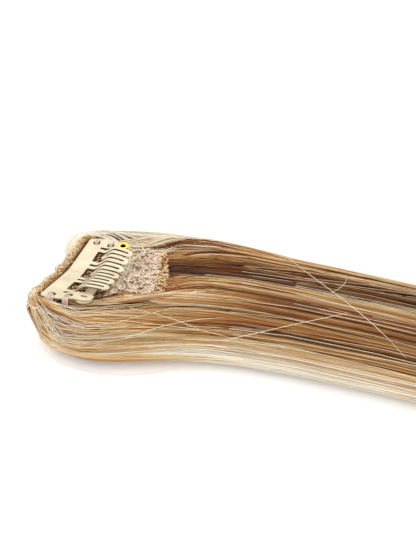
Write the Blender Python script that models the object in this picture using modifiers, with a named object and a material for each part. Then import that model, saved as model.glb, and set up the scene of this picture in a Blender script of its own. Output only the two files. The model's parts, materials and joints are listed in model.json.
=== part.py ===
"""Clip in hair extension: a six tooth snap clip sewn on a lace backed weft, with its lock of straight hair.

Metres, +Z up. The hair lies along +X on the plane z = 0 and the clip runs along Y at the root end.
The clip is drawn flat in its own frame: x from the band's back edge towards the tooth tips, y along the
clip, z out of the sheet. The sheet is then pressed into its curve, tilted and set on the hair.
"""
import bmesh
import bpy
from math import asin, atan, cos, degrees, pi, radians, sin
from mathutils import Matrix, Vector

MM = 0.001

# Snap clip, stamped from spring sheet
sheet = 0.45 * MM
band_width = 4.6 * MM
tooth_pairs = 3
tooth_pitch = 4.1 * MM
slit_width = 0.75 * MM
clip_reach = 15.6 * MM
tip_spread = 0.885
inner_turn = 3.3 * MM
tooth_lift = 2.5 * MM
tip_droop = 0.25 * MM
clip_rise = 2.05 * MM
arm_width = 3.7 * MM
arm_length = 6.2 * MM
lug_radius = 2.05 * MM
near_arm_raise = 0.9 * MM
far_arm_raise = 0.3 * MM
sewing_hole_radius = 1.1 * MM
corner_hole_radius = 1.05 * MM
slot_length = 1.9 * MM
slot_width = 0.9 * MM
band_corner_radius = 0.9 * MM
window_corner_radius = 0.45 * MM

# Grip bar and eyelet
bar_width = 2.4 * MM
bar_bow = 1.25 * MM
eyelet_bore_radius = 0.75 * MM
eyelet_barrel_radius = 1.05 * MM
eyelet_flange_radius = 1.72 * MM
eyelet_flange = 0.32 * MM

# Lace base and the two weft rows
lace_thickness = 1.0 * MM
lace_reach = 25.4 * MM
lace_dip = 0.8 * MM
weft_radius = 0.85 * MM
near_turn = 5.5 * MM
near_drop = 1.4 * MM

# Hair
hair_length = 355.0 * MM
bundle_width = 51.0 * MM
bundle_height = 9.6 * MM
nose_length = 8.0 * MM

# How the clip sits on the hair, and the gaps between pieces that touch
clip_height = 11.2 * MM
clip_tilt = radians(6.2)
seat_gap = 0.3 * MM
metal_gap = 0.15 * MM

# Sizes that follow from the ones above
leg_pitch = tooth_pitch / 2
tooth_half_width = (tooth_pitch - slit_width) / 2
teeth_half_span = tooth_pairs * tooth_pitch
arm_inner = teeth_half_span + slit_width / 2
clip_half = teeth_half_span + arm_width
arm_root = band_width + seat_gap / 2
lug_x = band_width + arm_length
far_lug = Vector((lug_x, clip_half - arm_width / 2 + 0.1 * arm_width))
near_lug = Vector((lug_x, -clip_half + arm_width / 2 + 0.1 * arm_width))
lace_back = -0.9 * MM

EXTENSION = "Clip in hair extension"


# The lace's near and far edges, from the band's back edge (along = 0) to the front row of knots (along = 1).
# near and far are shares of half the clip's length.
LACE_EDGES = (
    # along, near, far
    (0.00, -0.94, 1.12),
    (0.30, -0.95, 1.12),
    (0.48, -0.76, 1.14),
    (0.62, -0.34, 1.15),
    (1.00, -0.10, 1.16),
)

# The bed that the clip, the lace and the wefts lie in, in the same shares.
BED_EDGES = (
    # along, near, far
    (0.00, -1.14, 1.24),
    (0.44, -1.12, 1.24),
    (0.60, -0.50, 1.25),
    (1.00, -0.21, 1.26),
)

# The way the bundle runs. along is a share of the hair's length from the band's back edge, near and far
# are the bundle's edges as shares of its width, and height is a share of its height.
STREAM = (
    # along, near, far, height
    (-0.022, -0.24, 0.30, 0.80),
    (0.006, -0.41, 0.54, 0.94),
    (0.040, -0.515, 0.57, 1.00),
    (0.118, -0.39, 0.56, 0.98),
    (0.190, -0.39, 0.48, 0.92),
    (0.255, -0.47, 0.40, 0.86),
    (0.400, -0.62, 0.22, 0.74),
    (0.620, -0.73, 0.09, 0.62),
    (0.850, -0.74, 0.06, 0.46),
    (1.000, -0.69, 0.02, 0.34),
)

# The roll of hair that loops out behind the band before it turns under. along is where a section stands, as a
# share of half the clip's length, back is how far it stands out behind the band as a share of the nose's
# length, and top is its height as a share of the clip's height above the table.
ROOT_ROLL = (
    # along, back, top
    (-1.20, 0.02, 0.56),
    (-1.10, 0.18, 0.80),
    (-0.85, 0.38, 0.92),
    (-0.40, 0.48, 0.90),
    (0.20, 0.52, 0.89),
    (0.62, 0.66, 0.94),
    (0.95, 0.92, 1.00),
    (1.35, 1.00, 1.04),
    (1.62, 0.74, 1.00),
    (1.76, 0.25, 0.72),
)

# The locks. side is where a lock runs across the bundle, from -1 along the near edge to 1 along the far one, at
# its root, its middle and its tip. level is its middle's height and thick its half thickness, as shares of the
# bundle's height; wide is its half width as a share of the bundle's half width. begin is how far its root
# starts from the band's back edge, as a share of the nose's length, and reach is a share of the hair's length.
LOCKS = (
    # root_side, mid_side, tip_side, level, thick, wide, begin, reach
    (-1.00, -1.00, -1.00, 0.36, 0.31, 0.23, -0.25, 0.955),
    (-0.68, -0.66, -0.72, 0.43, 0.38, 0.22, -0.45, 0.985),
    (-0.34, -0.36, -0.34, 0.44, 0.40, 0.22, -0.50, 1.000),
    (0.00, -0.02, 0.04, 0.44, 0.40, 0.22, -0.50, 0.990),
    (0.34, 0.30, 0.36, 0.44, 0.40, 0.22, -0.50, 0.975),
    (0.67, 0.64, 0.68, 0.46, 0.42, 0.22, -0.55, 1.000),
    (1.00, 1.00, 1.00, 0.50, 0.40, 0.22, -0.40, 0.960),
    (-0.84, -0.54, -0.54, 0.70, 0.25, 0.18, 0.25, 0.900),
    (1.00, 0.80, 0.76, 0.86, 0.28, 0.20, -0.40, 0.880),
    (-0.36, -0.20, -0.16, 0.76, 0.21, 0.18, 2.45, 0.930),
    (0.04, 0.12, 0.14, 0.78, 0.20, 0.18, 2.65, 0.860),
    (0.46, 0.44, 0.44, 0.80, 0.21, 0.18, 2.50, 0.915),
)


def mix(a, b, share):
    return a + (b - a) * share


def smooth(value, low, high):
    """0 below low, 1 above high and an even S between them."""
    share = min(max((value - low) / (high - low), 0.0), 1.0)
    return share * share * (3 - 2 * share)


def read_table(rows, along, column):
    """The table's column at along, on a smooth curve through its rows."""
    if along <= rows[0][0]:
        return rows[0][column]
    if along >= rows[-1][0]:
        return rows[-1][column]
    last = next(index for index, row in enumerate(rows) if along < row[0])
    before, after = rows[last - 1], rows[last]
    ahead, behind = rows[min(last + 1, len(rows) - 1)], rows[max(last - 2, 0)]
    width = after[0] - before[0]
    share = (along - before[0]) / width
    leave = (after[column] - behind[column]) / (after[0] - behind[0]) * width
    arrive = (ahead[column] - before[column]) / (ahead[0] - before[0]) * width
    bend = share * (1 - share)
    straight = mix(before[column], after[column], share * share * (3 - 2 * share))
    return straight + bend * ((1 - share) * leave - share * arrive)


def arc(centre, radius, start, end, steps):
    """Points on an arc, angles in degrees, both ends included."""
    angles = [radians(mix(start, end, step / steps)) for step in range(steps + 1)]
    return [(centre[0] + radius * cos(a), centre[1] + radius * sin(a)) for a in angles]


def circle(centre, radius, steps=16):
    return arc(centre, radius, 0, 360, steps)[:-1]


def material(name, colour, roughness, metallic=0.0):
    made = bpy.data.materials.new(name)
    made.use_nodes = True
    shader = made.node_tree.nodes["Principled BSDF"]
    shader.inputs["Base Color"].default_value = (*colour, 1.0)
    shader.inputs["Roughness"].default_value = roughness
    shader.inputs["Metallic"].default_value = metallic
    made.diffuse_color = (*colour, 1.0)
    return made


def add_object(name, mesh, collection, finish=None):
    made = bpy.data.objects.new(name, mesh)
    collection.objects.link(made)
    if finish:
        mesh.materials.clear()
        mesh.materials.append(finish)
    return made


def evaluated_mesh(thing):
    """The object's mesh with its modifiers applied, as a new mesh."""
    return bpy.data.meshes.new_from_object(thing.evaluated_get(bpy.context.evaluated_depsgraph_get()))


def flat_plate(name, outer, holes, cuts_x, cuts_y, collection):
    """A flat stamping in the clip's plane, cut into strips so that it can be bent without breaking its faces.

    The outline is filled in millimetres, because a fill in metres would merge points a few hundredths apart.
    """
    curve = bpy.data.curves.new(name, "CURVE")
    curve.dimensions = "2D"
    curve.fill_mode = "BOTH"
    curve.extrude = sheet / 2 / MM
    for loop in (outer, *holes):
        spline = curve.splines.new("POLY")
        spline.points.add(len(loop) - 1)
        spline.use_cyclic_u = True
        for point, (x, y) in zip(spline.points, loop):
            point.co = (x / MM, y / MM, 0.0, 1.0)
    drawing = bpy.data.objects.new(name, curve)
    collection.objects.link(drawing)
    mesh = evaluated_mesh(drawing)
    bpy.data.objects.remove(drawing)
    bpy.data.curves.remove(curve)

    plate = bmesh.new()
    plate.from_mesh(mesh)
    bmesh.ops.remove_doubles(plate, verts=plate.verts, dist=0.001)
    for normal, cuts in (((1, 0, 0), cuts_x), ((0, 1, 0), cuts_y)):
        for cut in cuts:
            place = Vector(normal) * cut / MM
            everything = [*plate.verts, *plate.edges, *plate.faces]
            bmesh.ops.bisect_plane(plate, geom=everything, dist=0.002, plane_co=place, plane_no=normal)
    bmesh.ops.triangulate(plate, faces=plate.faces)
    bmesh.ops.scale(plate, vec=(MM, MM, MM), verts=plate.verts)
    plate.to_mesh(mesh)
    plate.free()
    return mesh


def press(mesh, shape):
    """Moves every vertex of a flat plate to where shape puts it."""
    for vertex in mesh.vertices:
        vertex.co = shape(vertex.co)
    mesh.update()


def set_on_hair(mesh):
    """From the clip's own frame to its tilted place above the table."""
    mesh.transform(Matrix.Translation((0, 0, clip_height)) @ Matrix.Rotation(clip_tilt, 4, "Y"))


def steps_between(low, high, step):
    count = max(int(round((high - low) / step)), 1)
    return [mix(low, high, index / count) for index in range(1, count)]


def sheet_rise(y):
    """The clip is bent along its length, ends up; past its ends the lace and wefts roll down again."""
    inside = min(abs(y), clip_half)
    return clip_rise * (inside / clip_half) ** 2 - 0.45 * (abs(y) - inside)


def tooth_height(x):
    """The teeth leave the band level, step up, and droop a little at their tips."""
    up = tooth_lift * smooth(x, band_width + 0.10 * clip_reach, 0.66 * clip_reach)
    return up - tip_droop * smooth(x, 0.75 * clip_reach, clip_reach)


def tooth_spread(x):
    """The teeth draw together towards their tips."""
    return mix(1.0, tip_spread, max(x - band_width, 0.0) / (clip_reach - band_width))


def arm_height(x, raised):
    return raised * smooth(x, band_width, lug_x - 0.3 * arm_length)


def comb_outline():
    """The band and the six rounded teeth, walked from the near end round the back to the last near tooth."""
    front = band_width - seat_gap / 2
    corner = band_corner_radius
    outline = [(front, -clip_half)]
    outline += arc((corner, corner - clip_half), corner, 270, 180, 4)
    outline += arc((corner, clip_half - corner), corner, 180, 90, 4)
    outline += [(front, clip_half), (front, arm_inner - slit_width)]
    tip = clip_reach - tooth_half_width
    slit_end = slit_width / 2
    teeth = 2 * tooth_pairs
    for index in range(teeth):
        middle = teeth_half_span - (index + 0.5) * tooth_pitch
        outline += arc((tip, middle), tooth_half_width, 90, -90, 8)
        if index < teeth - 1:
            inside_pair = index % 2 == 0
            bottom = band_width + inner_turn + slit_end if inside_pair else band_width + slit_end
            outline += arc((bottom, middle - tooth_pitch / 2), slit_end, 90, 270, 4)
    outline.append((front, slit_width - arm_inner))
    return outline


def tooth_window(middle):
    """The opening in each pair of teeth: a window by the band with a slit into either tooth."""
    tip = clip_reach - tooth_half_width
    slit_end = slit_width / 2
    side = leg_pitch + slit_end
    corner = window_corner_radius
    turn = (band_width + inner_turn + slit_end, middle)
    window = arc((band_width + corner, middle - side + corner), corner, 270, 180, 3)
    window += arc((band_width + corner, middle + side - corner), corner, 180, 90, 3)
    window += arc((tip, middle + leg_pitch), slit_end, 90, -90, 4)
    window += arc(turn, leg_pitch - slit_end, 90, 270, 6)
    window += arc((tip, middle - leg_pitch), slit_end, 90, -90, 4)
    return window


def make_comb(parts, finish):
    """The band with its teeth: the half of the clip that snaps up."""
    windows = [tooth_window((pair - (tooth_pairs - 1) / 2) * 2 * tooth_pitch) for pair in range(tooth_pairs)]
    corners = [circle((0.55 * band_width, side * (clip_half - 0.41 * arm_width)), corner_hole_radius, 12)
               for side in (-1, 1)]
    cuts_x = steps_between(band_width, clip_reach, 1.3 * MM)
    cuts_y = steps_between(-clip_half, clip_half, 2.0 * MM)
    mesh = flat_plate("clip_comb", comb_outline(), windows + corners, cuts_x, cuts_y, parts)

    def shape(point):
        y = point.y * tooth_spread(point.x)
        return Vector((point.x, y, point.z + tooth_height(point.x) + sheet_rise(y)))

    press(mesh, shape)
    set_on_hair(mesh)
    return add_object("clip_comb", mesh, parts, finish)


def arm_outline(side, lug):
    """An arm from the end of the band to the round lug that carries the eyelet or the fold."""
    inner, outer = side * arm_inner, side * clip_half
    lug_arc = arc(lug, lug_radius, -90 * side, 90 * side, 12)
    return [(arm_root, outer), (arm_root, inner), *lug_arc]


def sewing_hole(side):
    return circle((band_width + 0.39 * arm_length, side * (clip_half - 0.47 * arm_width)), sewing_hole_radius)


def make_far_arm(parts, finish):
    """The arm that the eyelet holds, with its sewing hole."""
    holes = [sewing_hole(1), circle(far_lug, eyelet_barrel_radius + 2 * metal_gap)]
    cuts_x = steps_between(arm_root, lug_x, 1.2 * MM)
    cuts_y = steps_between(arm_inner, clip_half, 1.2 * MM)
    mesh = flat_plate("clip_arm_far", arm_outline(1, far_lug), holes, cuts_x, cuts_y, parts)
    press(mesh, lambda p: Vector((p.x, p.y, p.z + sheet_rise(p.y) + arm_height(p.x, far_arm_raise))))
    set_on_hair(mesh)
    return add_object("clip_arm_far", mesh, parts, finish)


def bar_outline():
    """The grip bar seen from above, with a round lug at either end."""
    foot = degrees(asin(min(bar_width / 2 / lug_radius, 0.99)))
    far = arc(far_lug, lug_radius - metal_gap, foot - 90, 270 - foot, 14)
    near = arc(near_bar_lug(), lug_radius, 90 + foot, 450 - foot, 14)
    return far + near


def near_bar_lug():
    """The folded end of the bar looks out from under the near arm."""
    return near_lug + Vector((0.0, -0.35 * MM))


def bar_height(y):
    """The bar hugs the arms at its ends and bows up under the teeth between them."""
    step = sheet + metal_gap
    side_raise = near_arm_raise if y < 0 else far_arm_raise
    at_arm = sheet_rise(y) + side_raise - step
    bowed = bar_bow + sheet_rise(0.6 * y)
    return mix(bowed, at_arm, smooth(abs(y), 0.35 * clip_half, arm_inner - slit_width))


def make_frame(parts, cutters, finish):
    """The near arm, folded back under itself into the grip bar that the teeth close on."""
    slot = arc((near_lug.x + slot_length / 2 - slot_width / 2, near_lug.y), slot_width / 2, -90, 90, 5)
    slot += arc((near_lug.x - slot_length / 2 + slot_width / 2, near_lug.y), slot_width / 2, 90, 270, 5)
    cuts_x = steps_between(arm_root, lug_x, 1.2 * MM)
    cuts_y = steps_between(-clip_half, -arm_inner, 1.2 * MM)
    arm = flat_plate("clip_frame", arm_outline(-1, near_lug), [sewing_hole(-1), slot], cuts_x, cuts_y, parts)
    press(arm, lambda p: Vector((p.x, p.y, p.z + sheet_rise(p.y) + arm_height(p.x, near_arm_raise))))

    hole = circle(far_lug, eyelet_barrel_radius + 2 * metal_gap)
    bar_cuts = steps_between(-clip_half, clip_half, 1.6 * MM)
    bar = flat_plate("bar", bar_outline(), [hole], [], bar_cuts, parts)
    press(bar, lambda p: Vector((p.x, p.y, p.z + bar_height(p.y))))

    fold_radius = sheet + metal_gap / 2 - 0.01 * MM
    slope = atan(2 * clip_rise * near_lug.y / clip_half ** 2)
    bpy.ops.mesh.primitive_cylinder_add(vertices=16, radius=fold_radius, depth=1.3 * lug_radius)
    fold = bpy.context.active_object
    top = sheet_rise(near_lug.y) + near_arm_raise
    fold_place = Vector((near_lug.x + 0.9 * lug_radius, near_lug.y, top - sheet / 2 - metal_gap / 2))
    fold.data.transform(Matrix.Translation(fold_place) @ Matrix.Rotation(pi / 2 + slope, 4, "X"))

    frame = add_object("clip_frame", arm, parts, finish)
    pieces = [add_object("bar", bar, cutters), fold]
    fuse(frame, pieces)
    set_on_hair(frame.data)
    return frame


def fuse(base, pieces):
    """Joins the pieces to the base as one body and removes them."""
    for piece in pieces:
        union = base.modifiers.new(piece.name, "BOOLEAN")
        union.operation = "UNION"
        union.object = piece
    take_modifiers(base, pieces)


def cut(base, tool):
    """Takes the tool's shape out of the base and removes the tool."""
    difference = base.modifiers.new(tool.name, "BOOLEAN")
    difference.operation = "DIFFERENCE"
    difference.object = tool
    take_modifiers(base, [tool])


def take_modifiers(base, used):
    finish = list(base.data.materials)
    made = evaluated_mesh(base)
    base.modifiers.clear()
    base.data = made
    made.materials.clear()
    for slot in finish:
        made.materials.append(slot)
    for piece in used:
        bpy.data.objects.remove(piece)


def make_eyelet(parts, finish):
    """A turned brass eyelet, set square to the curved sheet, that clamps the bar under the far arm."""
    top = sheet / 2 + metal_gap
    bottom = -1.5 * sheet - 2 * metal_gap
    flange, edge = eyelet_flange, eyelet_flange_radius
    lip = mix(eyelet_bore_radius, edge, 0.5)
    profile = (
        (eyelet_bore_radius, top + 0.5 * flange),
        (eyelet_bore_radius + 0.12 * MM, top + 0.85 * flange),
        (lip, top + flange),
        (edge - 0.15 * MM, top + 0.7 * flange),
        (edge, top + 0.3 * flange),
        (edge - 0.08 * MM, top),
        (eyelet_barrel_radius, top),
        (eyelet_barrel_radius, bottom),
        (edge - 0.3 * MM, bottom),
        (edge - 0.2 * MM, bottom - 0.5 * flange),
        (lip, bottom - flange),
        (eyelet_bore_radius, bottom - 0.6 * flange),
    )
    mesh = bpy.data.meshes.new("eyelet")
    edges = [(index, (index + 1) % len(profile)) for index in range(len(profile))]
    mesh.from_pydata([(r, 0.0, z) for r, z in profile], edges, [])
    eyelet = add_object("eyelet", mesh, parts)
    screw = eyelet.modifiers.new("turned", "SCREW")
    screw.steps = screw.render_steps = 24
    screw.use_merge_vertices = True
    screw.merge_threshold = 0.000001
    take_modifiers(eyelet, [])
    eyelet.data.materials.append(finish)
    slope = atan(2 * clip_rise * far_lug.y / clip_half ** 2)
    seat = Vector((far_lug.x, far_lug.y, sheet_rise(far_lug.y) + far_arm_raise))
    eyelet.data.transform(Matrix.Translation(seat) @ Matrix.Rotation(slope, 4, "X"))
    set_on_hair(eyelet.data)
    return eyelet


def lace_front(y):
    """The lace's front edge curves back towards the clip at the far end."""
    return lace_reach * (1.0 - 0.14 * (y / clip_half + 0.06) ** 2)


def lace_height(x, y):
    """The lace lies close under the band and sinks below the teeth and the bar."""
    under_band = sheet / 2 + seat_gap
    return sheet_rise(y) - under_band - lace_dip * smooth(x, band_width, lug_x)


def patch(edges, front_margin, back_margin, along_steps=12, across_steps=14):
    """Rows of points in the clip's plane that fill the shape between two edges and the lace's front."""
    rows = []
    for step in range(along_steps + 1):
        along = step / along_steps
        near = read_table(edges, along, 1) * clip_half
        far = read_table(edges, along, 2) * clip_half
        row = []
        for across in range(across_steps + 1):
            y = mix(near, far, across / across_steps)
            row.append((mix(lace_back - back_margin, lace_front(y) + front_margin, along), y))
        rows.append(row)
    return rows


def grid_faces(rows, columns, start=0, flip=False):
    faces = []
    for row in range(rows - 1):
        for column in range(columns - 1):
            corner = start + row * columns + column
            face = (corner, corner + columns, corner + columns + 1, corner + 1)
            faces.append(face[::-1] if flip else face)
    return faces


def make_lace(parts, finish):
    """The lace base, one sheet of net folded double, between the clip and the hair."""
    rows = patch(LACE_EDGES, 0.0, 0.0)
    points = [(x, y, lace_height(x, y)) for row in rows for x, y in row]
    mesh = bpy.data.meshes.new("lace_base")
    mesh.from_pydata(points, [], grid_faces(len(rows), len(rows[0])))
    set_on_hair(mesh)
    lace = add_object("lace_base", mesh, parts, finish)
    wall = lace.modifiers.new("wall", "SOLIDIFY")
    wall.thickness = lace_thickness
    wall.offset = -1.0
    return lace


def make_weft(name, route, parts, finish):
    """A sewn weft row: a round bead of thread and hair along its route, in the clip's frame."""
    curve = bpy.data.curves.new(name, "CURVE")
    curve.dimensions = "3D"
    curve.bevel_depth = weft_radius
    curve.bevel_resolution = 2
    curve.use_fill_caps = True
    spline = curve.splines.new("POLY")
    spline.points.add(len(route) - 1)
    for point, place in zip(spline.points, route):
        point.co = (*place, 1.0)
    drawing = bpy.data.objects.new(name, curve)
    parts.objects.link(drawing)
    mesh = evaluated_mesh(drawing)
    bpy.data.objects.remove(drawing)
    bpy.data.curves.remove(curve)
    bead = bmesh.new()
    bead.from_mesh(mesh)
    bmesh.ops.remove_doubles(bead, verts=bead.verts, dist=0.001 * MM)
    bead.to_mesh(mesh)
    bead.free()
    set_on_hair(mesh)
    return add_object(name, mesh, parts, finish)


def back_route(steps=14):
    """Along the band's back edge, round the lace's corners, and on under the clip's near end."""
    gap = seat_gap + weft_radius
    near = LACE_EDGES[0][1] * clip_half
    far = LACE_EDGES[0][2] * clip_half
    plan = [(mix(near_turn, lace_back, step / 3), near - gap) for step in range(3)]
    plan += arc((lace_back, near), gap, 270, 180, 4)
    plan += [(lace_back - gap, mix(near, far, step / steps)) for step in range(1, steps)]
    plan += arc((lace_back, far), gap, 180, 90, 4)
    plan += [(lace_back + gap, far + gap)]
    route = []
    for x, y in plan:
        under_clip = smooth(-y, 0.72 * clip_half, -near + gap) + 0.4 * smooth(x, lace_back, near_turn)
        drop = near_drop * under_clip if y < 0 else 0.0
        route.append((x, y, sheet_rise(y) - lace_thickness / 2 - drop))
    return route


def front_route(steps=14):
    """Along the lace's front edge, where the second row of hair is knotted in."""
    near = read_table(LACE_EDGES, 1.0, 1) * clip_half
    far = read_table(LACE_EDGES, 1.0, 2) * clip_half
    route = []
    for step in range(steps + 1):
        y = mix(near, far, step / steps)
        x = lace_front(y) + seat_gap + weft_radius
        route.append((x, y, lace_height(x, y) - 0.15 * MM))
    return route


def edges(x):
    """The bundle's near edge, far edge and height at x."""
    along = x / hair_length
    near, far = (read_table(STREAM, along, column) * bundle_width for column in (1, 2))
    return near, far, read_table(STREAM, along, 3) * bundle_height


def root_roll_rings(sides=12):
    """Rings across X, from the near end of the clip to the far edge of the bundle."""
    front = 1.2 * nose_length
    rings = []
    for along, back, top in ROOT_ROLL:
        y = along * clip_half
        left, high = -back * nose_length, top * clip_height
        low = 0.06 * bundle_height
        middle = Vector(((left + front) / 2, (high + low) / 2))
        half = Vector(((front - left) / 2, (high - low) / 2))
        if along in (ROOT_ROLL[0][0], ROOT_ROLL[-1][0]):
            half = half * 0.7
        angles = [2 * pi * corner / sides for corner in range(sides)]
        rings.append([(middle.x + half.x * cos(a), y, middle.y + half.y * sin(a)) for a in angles])
    return rings


def lock_rings(row, sides=8):
    """The rings of one lock: lens shaped, rounded at the root and drawn out to a point at the tip."""
    root_side, mid_side, tip_side, level, thick, wide, begin, reach = row
    start = begin * nose_length
    end = reach * hair_length
    root_zone = 2.2 * nose_length
    first = [start + root_zone * share for share in (0.0, 0.06, 0.2, 0.45, 1.0)]
    further = (0.03, 0.06, 0.10, 0.14, 0.19, 0.25, 0.33, 0.42, 0.52, 0.64, 0.77, 0.87, 0.95, 1.0)
    rest = [mix(first[-1], end, share) for share in further]
    rings = []
    for x in first + rest:
        along = (x - start) / (end - start)
        side = mix(mix(root_side, mid_side, smooth(along, 0.0, 0.3)), tip_side, smooth(along, 0.5, 1.0))
        bulge = (1 - (1 - smooth(x - start, 0.0, root_zone)) ** 3) ** 0.5
        taper = 1 - 0.82 * smooth(along, 0.86, 1.0) ** 1.5
        size = max(bulge, 0.16) * taper
        near, far, tall = edges(x)
        half_wide = wide * (far - near) / 2 * 1.08 * size
        middle_y = mix(near + half_wide, far - half_wide, (1 + side) / 2)
        lift = 0.03 * sin(9 * along + 7 * root_side)
        middle_z = (level + lift) * tall
        half_tall = min(thick * tall * size, middle_z - 0.03 * bundle_height)
        ring = []
        for corner in range(sides):
            angle = 2 * pi * corner / sides
            ring.append((x, middle_y + half_wide * cos(angle), middle_z + half_tall * sin(angle)))
        rings.append(ring)
    return rings


def loft(name, rings, collection, finish=None):
    """A closed body through rings of equal count, with flat ends."""
    sides = len(rings[0])
    points = [point for ring in rings for point in ring]
    faces = []
    for ring in range(len(rings) - 1):
        for corner in range(sides):
            a = ring * sides + corner
            b = ring * sides + (corner + 1) % sides
            faces.append((a, a + sides, b + sides, b))
    faces.append(tuple(range(sides)))
    faces.append(tuple(range(len(points) - sides, len(points)))[::-1])
    mesh = bpy.data.meshes.new(name)
    mesh.from_pydata(points, [], faces)
    body = bmesh.new()
    body.from_mesh(mesh)
    bmesh.ops.recalc_face_normals(body, faces=body.faces)
    body.to_mesh(mesh)
    body.free()
    return add_object(name, mesh, collection, finish)


def make_hair(parts, cutters, finish):
    """The locks, fused to a flat backing that lies on the table, with the bed for the clip and lace cut in."""
    rings = []
    for share in (0.004, 0.03, 0.08, 0.12, 0.18, 0.26, 0.33, 0.42, 0.55, 0.70, 0.84, 0.94):
        near, far, tall = edges(share * hair_length)
        half, middle = 0.40 * (far - near), (near + far) / 2
        top = 0.62 * tall
        if share < 0.01 or share > 0.9:
            half, top = 0.7 * half, 0.7 * top
        rings.append([(share * hair_length, middle + across * half, up * top)
                      for across, up in ((-1, 0), (1, 0), (0.9, 0.6), (0.5, 1), (-0.5, 1), (-0.9, 0.6))])
    hair = loft("hair", rings, parts, finish)
    locks = [loft(f"lock_{number}", lock_rings(row), cutters) for number, row in enumerate(LOCKS)]
    locks.append(loft("root_roll", root_roll_rings(), cutters))
    fuse(hair, locks)
    cut(hair, clip_bed(cutters))
    return hair


def clip_bed(cutters):
    """Everything from just under the lace upwards, over the plan of the clip, the lace and the wefts."""
    margin = 2 * weft_radius + 2 * seat_gap
    rows = patch(BED_EDGES, margin, margin)
    under = lace_thickness + seat_gap
    bottom = [(x, y, lace_height(x, y) - under) for row in rows for x, y in row]
    top = [(x, y, bundle_height + clip_height) for row in rows for x, y in row]
    count, columns = len(rows), len(rows[0])
    size = count * columns
    faces = grid_faces(count, columns, 0, True) + grid_faces(count, columns, size)
    rim = [column for column in range(columns)]
    rim += [row * columns + columns - 1 for row in range(1, count)]
    rim += [(count - 1) * columns + column for column in range(columns - 2, -1, -1)]
    rim += [row * columns for row in range(count - 2, 0, -1)]
    for a, b in zip(rim, rim[1:] + rim[:1]):
        faces.append((a, b, b + size, a + size))
    mesh = bpy.data.meshes.new("clip_bed")
    mesh.from_pydata(bottom + top, [], faces)
    body = bmesh.new()
    body.from_mesh(mesh)
    bmesh.ops.recalc_face_normals(body, faces=body.faces)
    body.to_mesh(mesh)
    body.free()
    set_on_hair(mesh)
    return add_object("clip_bed", mesh, cutters)


def centre_on_origin(parts):
    """Carries every piece on one empty that puts the box's bottom centre at the origin."""
    bpy.context.view_layer.update()
    depsgraph = bpy.context.evaluated_depsgraph_get()
    corners = [corner for piece in parts.objects for corner in
               (Vector(point) for point in piece.evaluated_get(depsgraph).bound_box)]
    low = Vector([min(corner[axis] for corner in corners) for axis in range(3)])
    high = Vector([max(corner[axis] for corner in corners) for axis in range(3)])
    carrier = bpy.data.objects.new("extension_origin", None)
    bpy.context.scene.collection.objects.link(carrier)
    for piece in parts.objects:
        piece.parent = carrier
    carrier.location = (-(low.x + high.x) / 2, -(low.y + high.y) / 2, -low.z)
    bpy.context.view_layer.update()
    print("origin moved by", [round(value, 6) for value in carrier.location])
    print("size", [round(value, 6) for value in high - low])


def main():
    for thing in list(bpy.data.objects):
        bpy.data.objects.remove(thing)
    parts = bpy.data.collections.new(EXTENSION)
    cutters = bpy.data.collections.new("Cutters")
    for collection in (parts, cutters):
        bpy.context.scene.collection.children.link(collection)

    lacquer = material("cream lacquer", (0.86, 0.78, 0.60), 0.35)
    brass = material("bright brass", (0.93, 0.70, 0.18), 0.25, 1.0)
    net = material("pinkish net", (0.76, 0.60, 0.47), 0.85)
    thread = material("knotted weft", (0.66, 0.46, 0.30), 0.8)
    blonde = material("mixed blonde hair", (0.72, 0.52, 0.32), 0.45)

    make_comb(parts, lacquer)
    make_far_arm(parts, lacquer)
    make_frame(parts, cutters, lacquer)
    make_eyelet(parts, brass)
    make_lace(parts, net)
    make_weft("weft_back", back_route(), parts, thread)
    make_weft("weft_front", front_route(), parts, thread)
    make_hair(parts, cutters, blonde)
    centre_on_origin(parts)


main()
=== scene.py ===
# %% [markdown]
# # A clip in hair extension
#
# One weft of straight, mixed blonde hair lies on a pale table. A six tooth snap clip is sewn on a piece of lace
# at its root end. The solid model of every piece comes first, as a fixed frame, and this notebook dresses it:
# a rounded lacquered stamping, a net with knots and stitches, and some thousands of separate strands.

import json
import math

import bmesh
import bpy
import numpy as np
from mathutils import Matrix, Vector
from mathutils.bvhtree import BVHTree

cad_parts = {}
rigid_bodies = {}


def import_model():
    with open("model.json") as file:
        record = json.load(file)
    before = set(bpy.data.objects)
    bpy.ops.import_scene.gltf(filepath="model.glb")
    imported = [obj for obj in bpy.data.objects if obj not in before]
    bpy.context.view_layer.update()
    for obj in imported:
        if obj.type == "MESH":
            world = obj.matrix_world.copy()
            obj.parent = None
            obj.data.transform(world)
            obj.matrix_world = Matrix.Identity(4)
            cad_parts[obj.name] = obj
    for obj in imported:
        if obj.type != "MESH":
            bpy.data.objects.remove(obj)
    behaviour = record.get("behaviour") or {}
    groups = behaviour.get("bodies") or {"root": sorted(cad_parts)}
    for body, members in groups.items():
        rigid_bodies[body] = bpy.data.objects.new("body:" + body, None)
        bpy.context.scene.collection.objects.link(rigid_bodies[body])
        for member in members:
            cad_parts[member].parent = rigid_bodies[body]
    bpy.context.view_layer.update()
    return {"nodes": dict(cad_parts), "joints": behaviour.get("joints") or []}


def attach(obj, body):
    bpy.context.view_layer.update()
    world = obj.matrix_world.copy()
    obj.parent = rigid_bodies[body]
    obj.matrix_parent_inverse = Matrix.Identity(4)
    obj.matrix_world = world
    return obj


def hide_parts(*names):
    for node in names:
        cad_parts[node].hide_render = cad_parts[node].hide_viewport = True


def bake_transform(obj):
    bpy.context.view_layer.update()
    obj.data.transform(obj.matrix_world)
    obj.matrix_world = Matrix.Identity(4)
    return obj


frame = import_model()
print("nodes:", sorted(frame["nodes"]))

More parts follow.
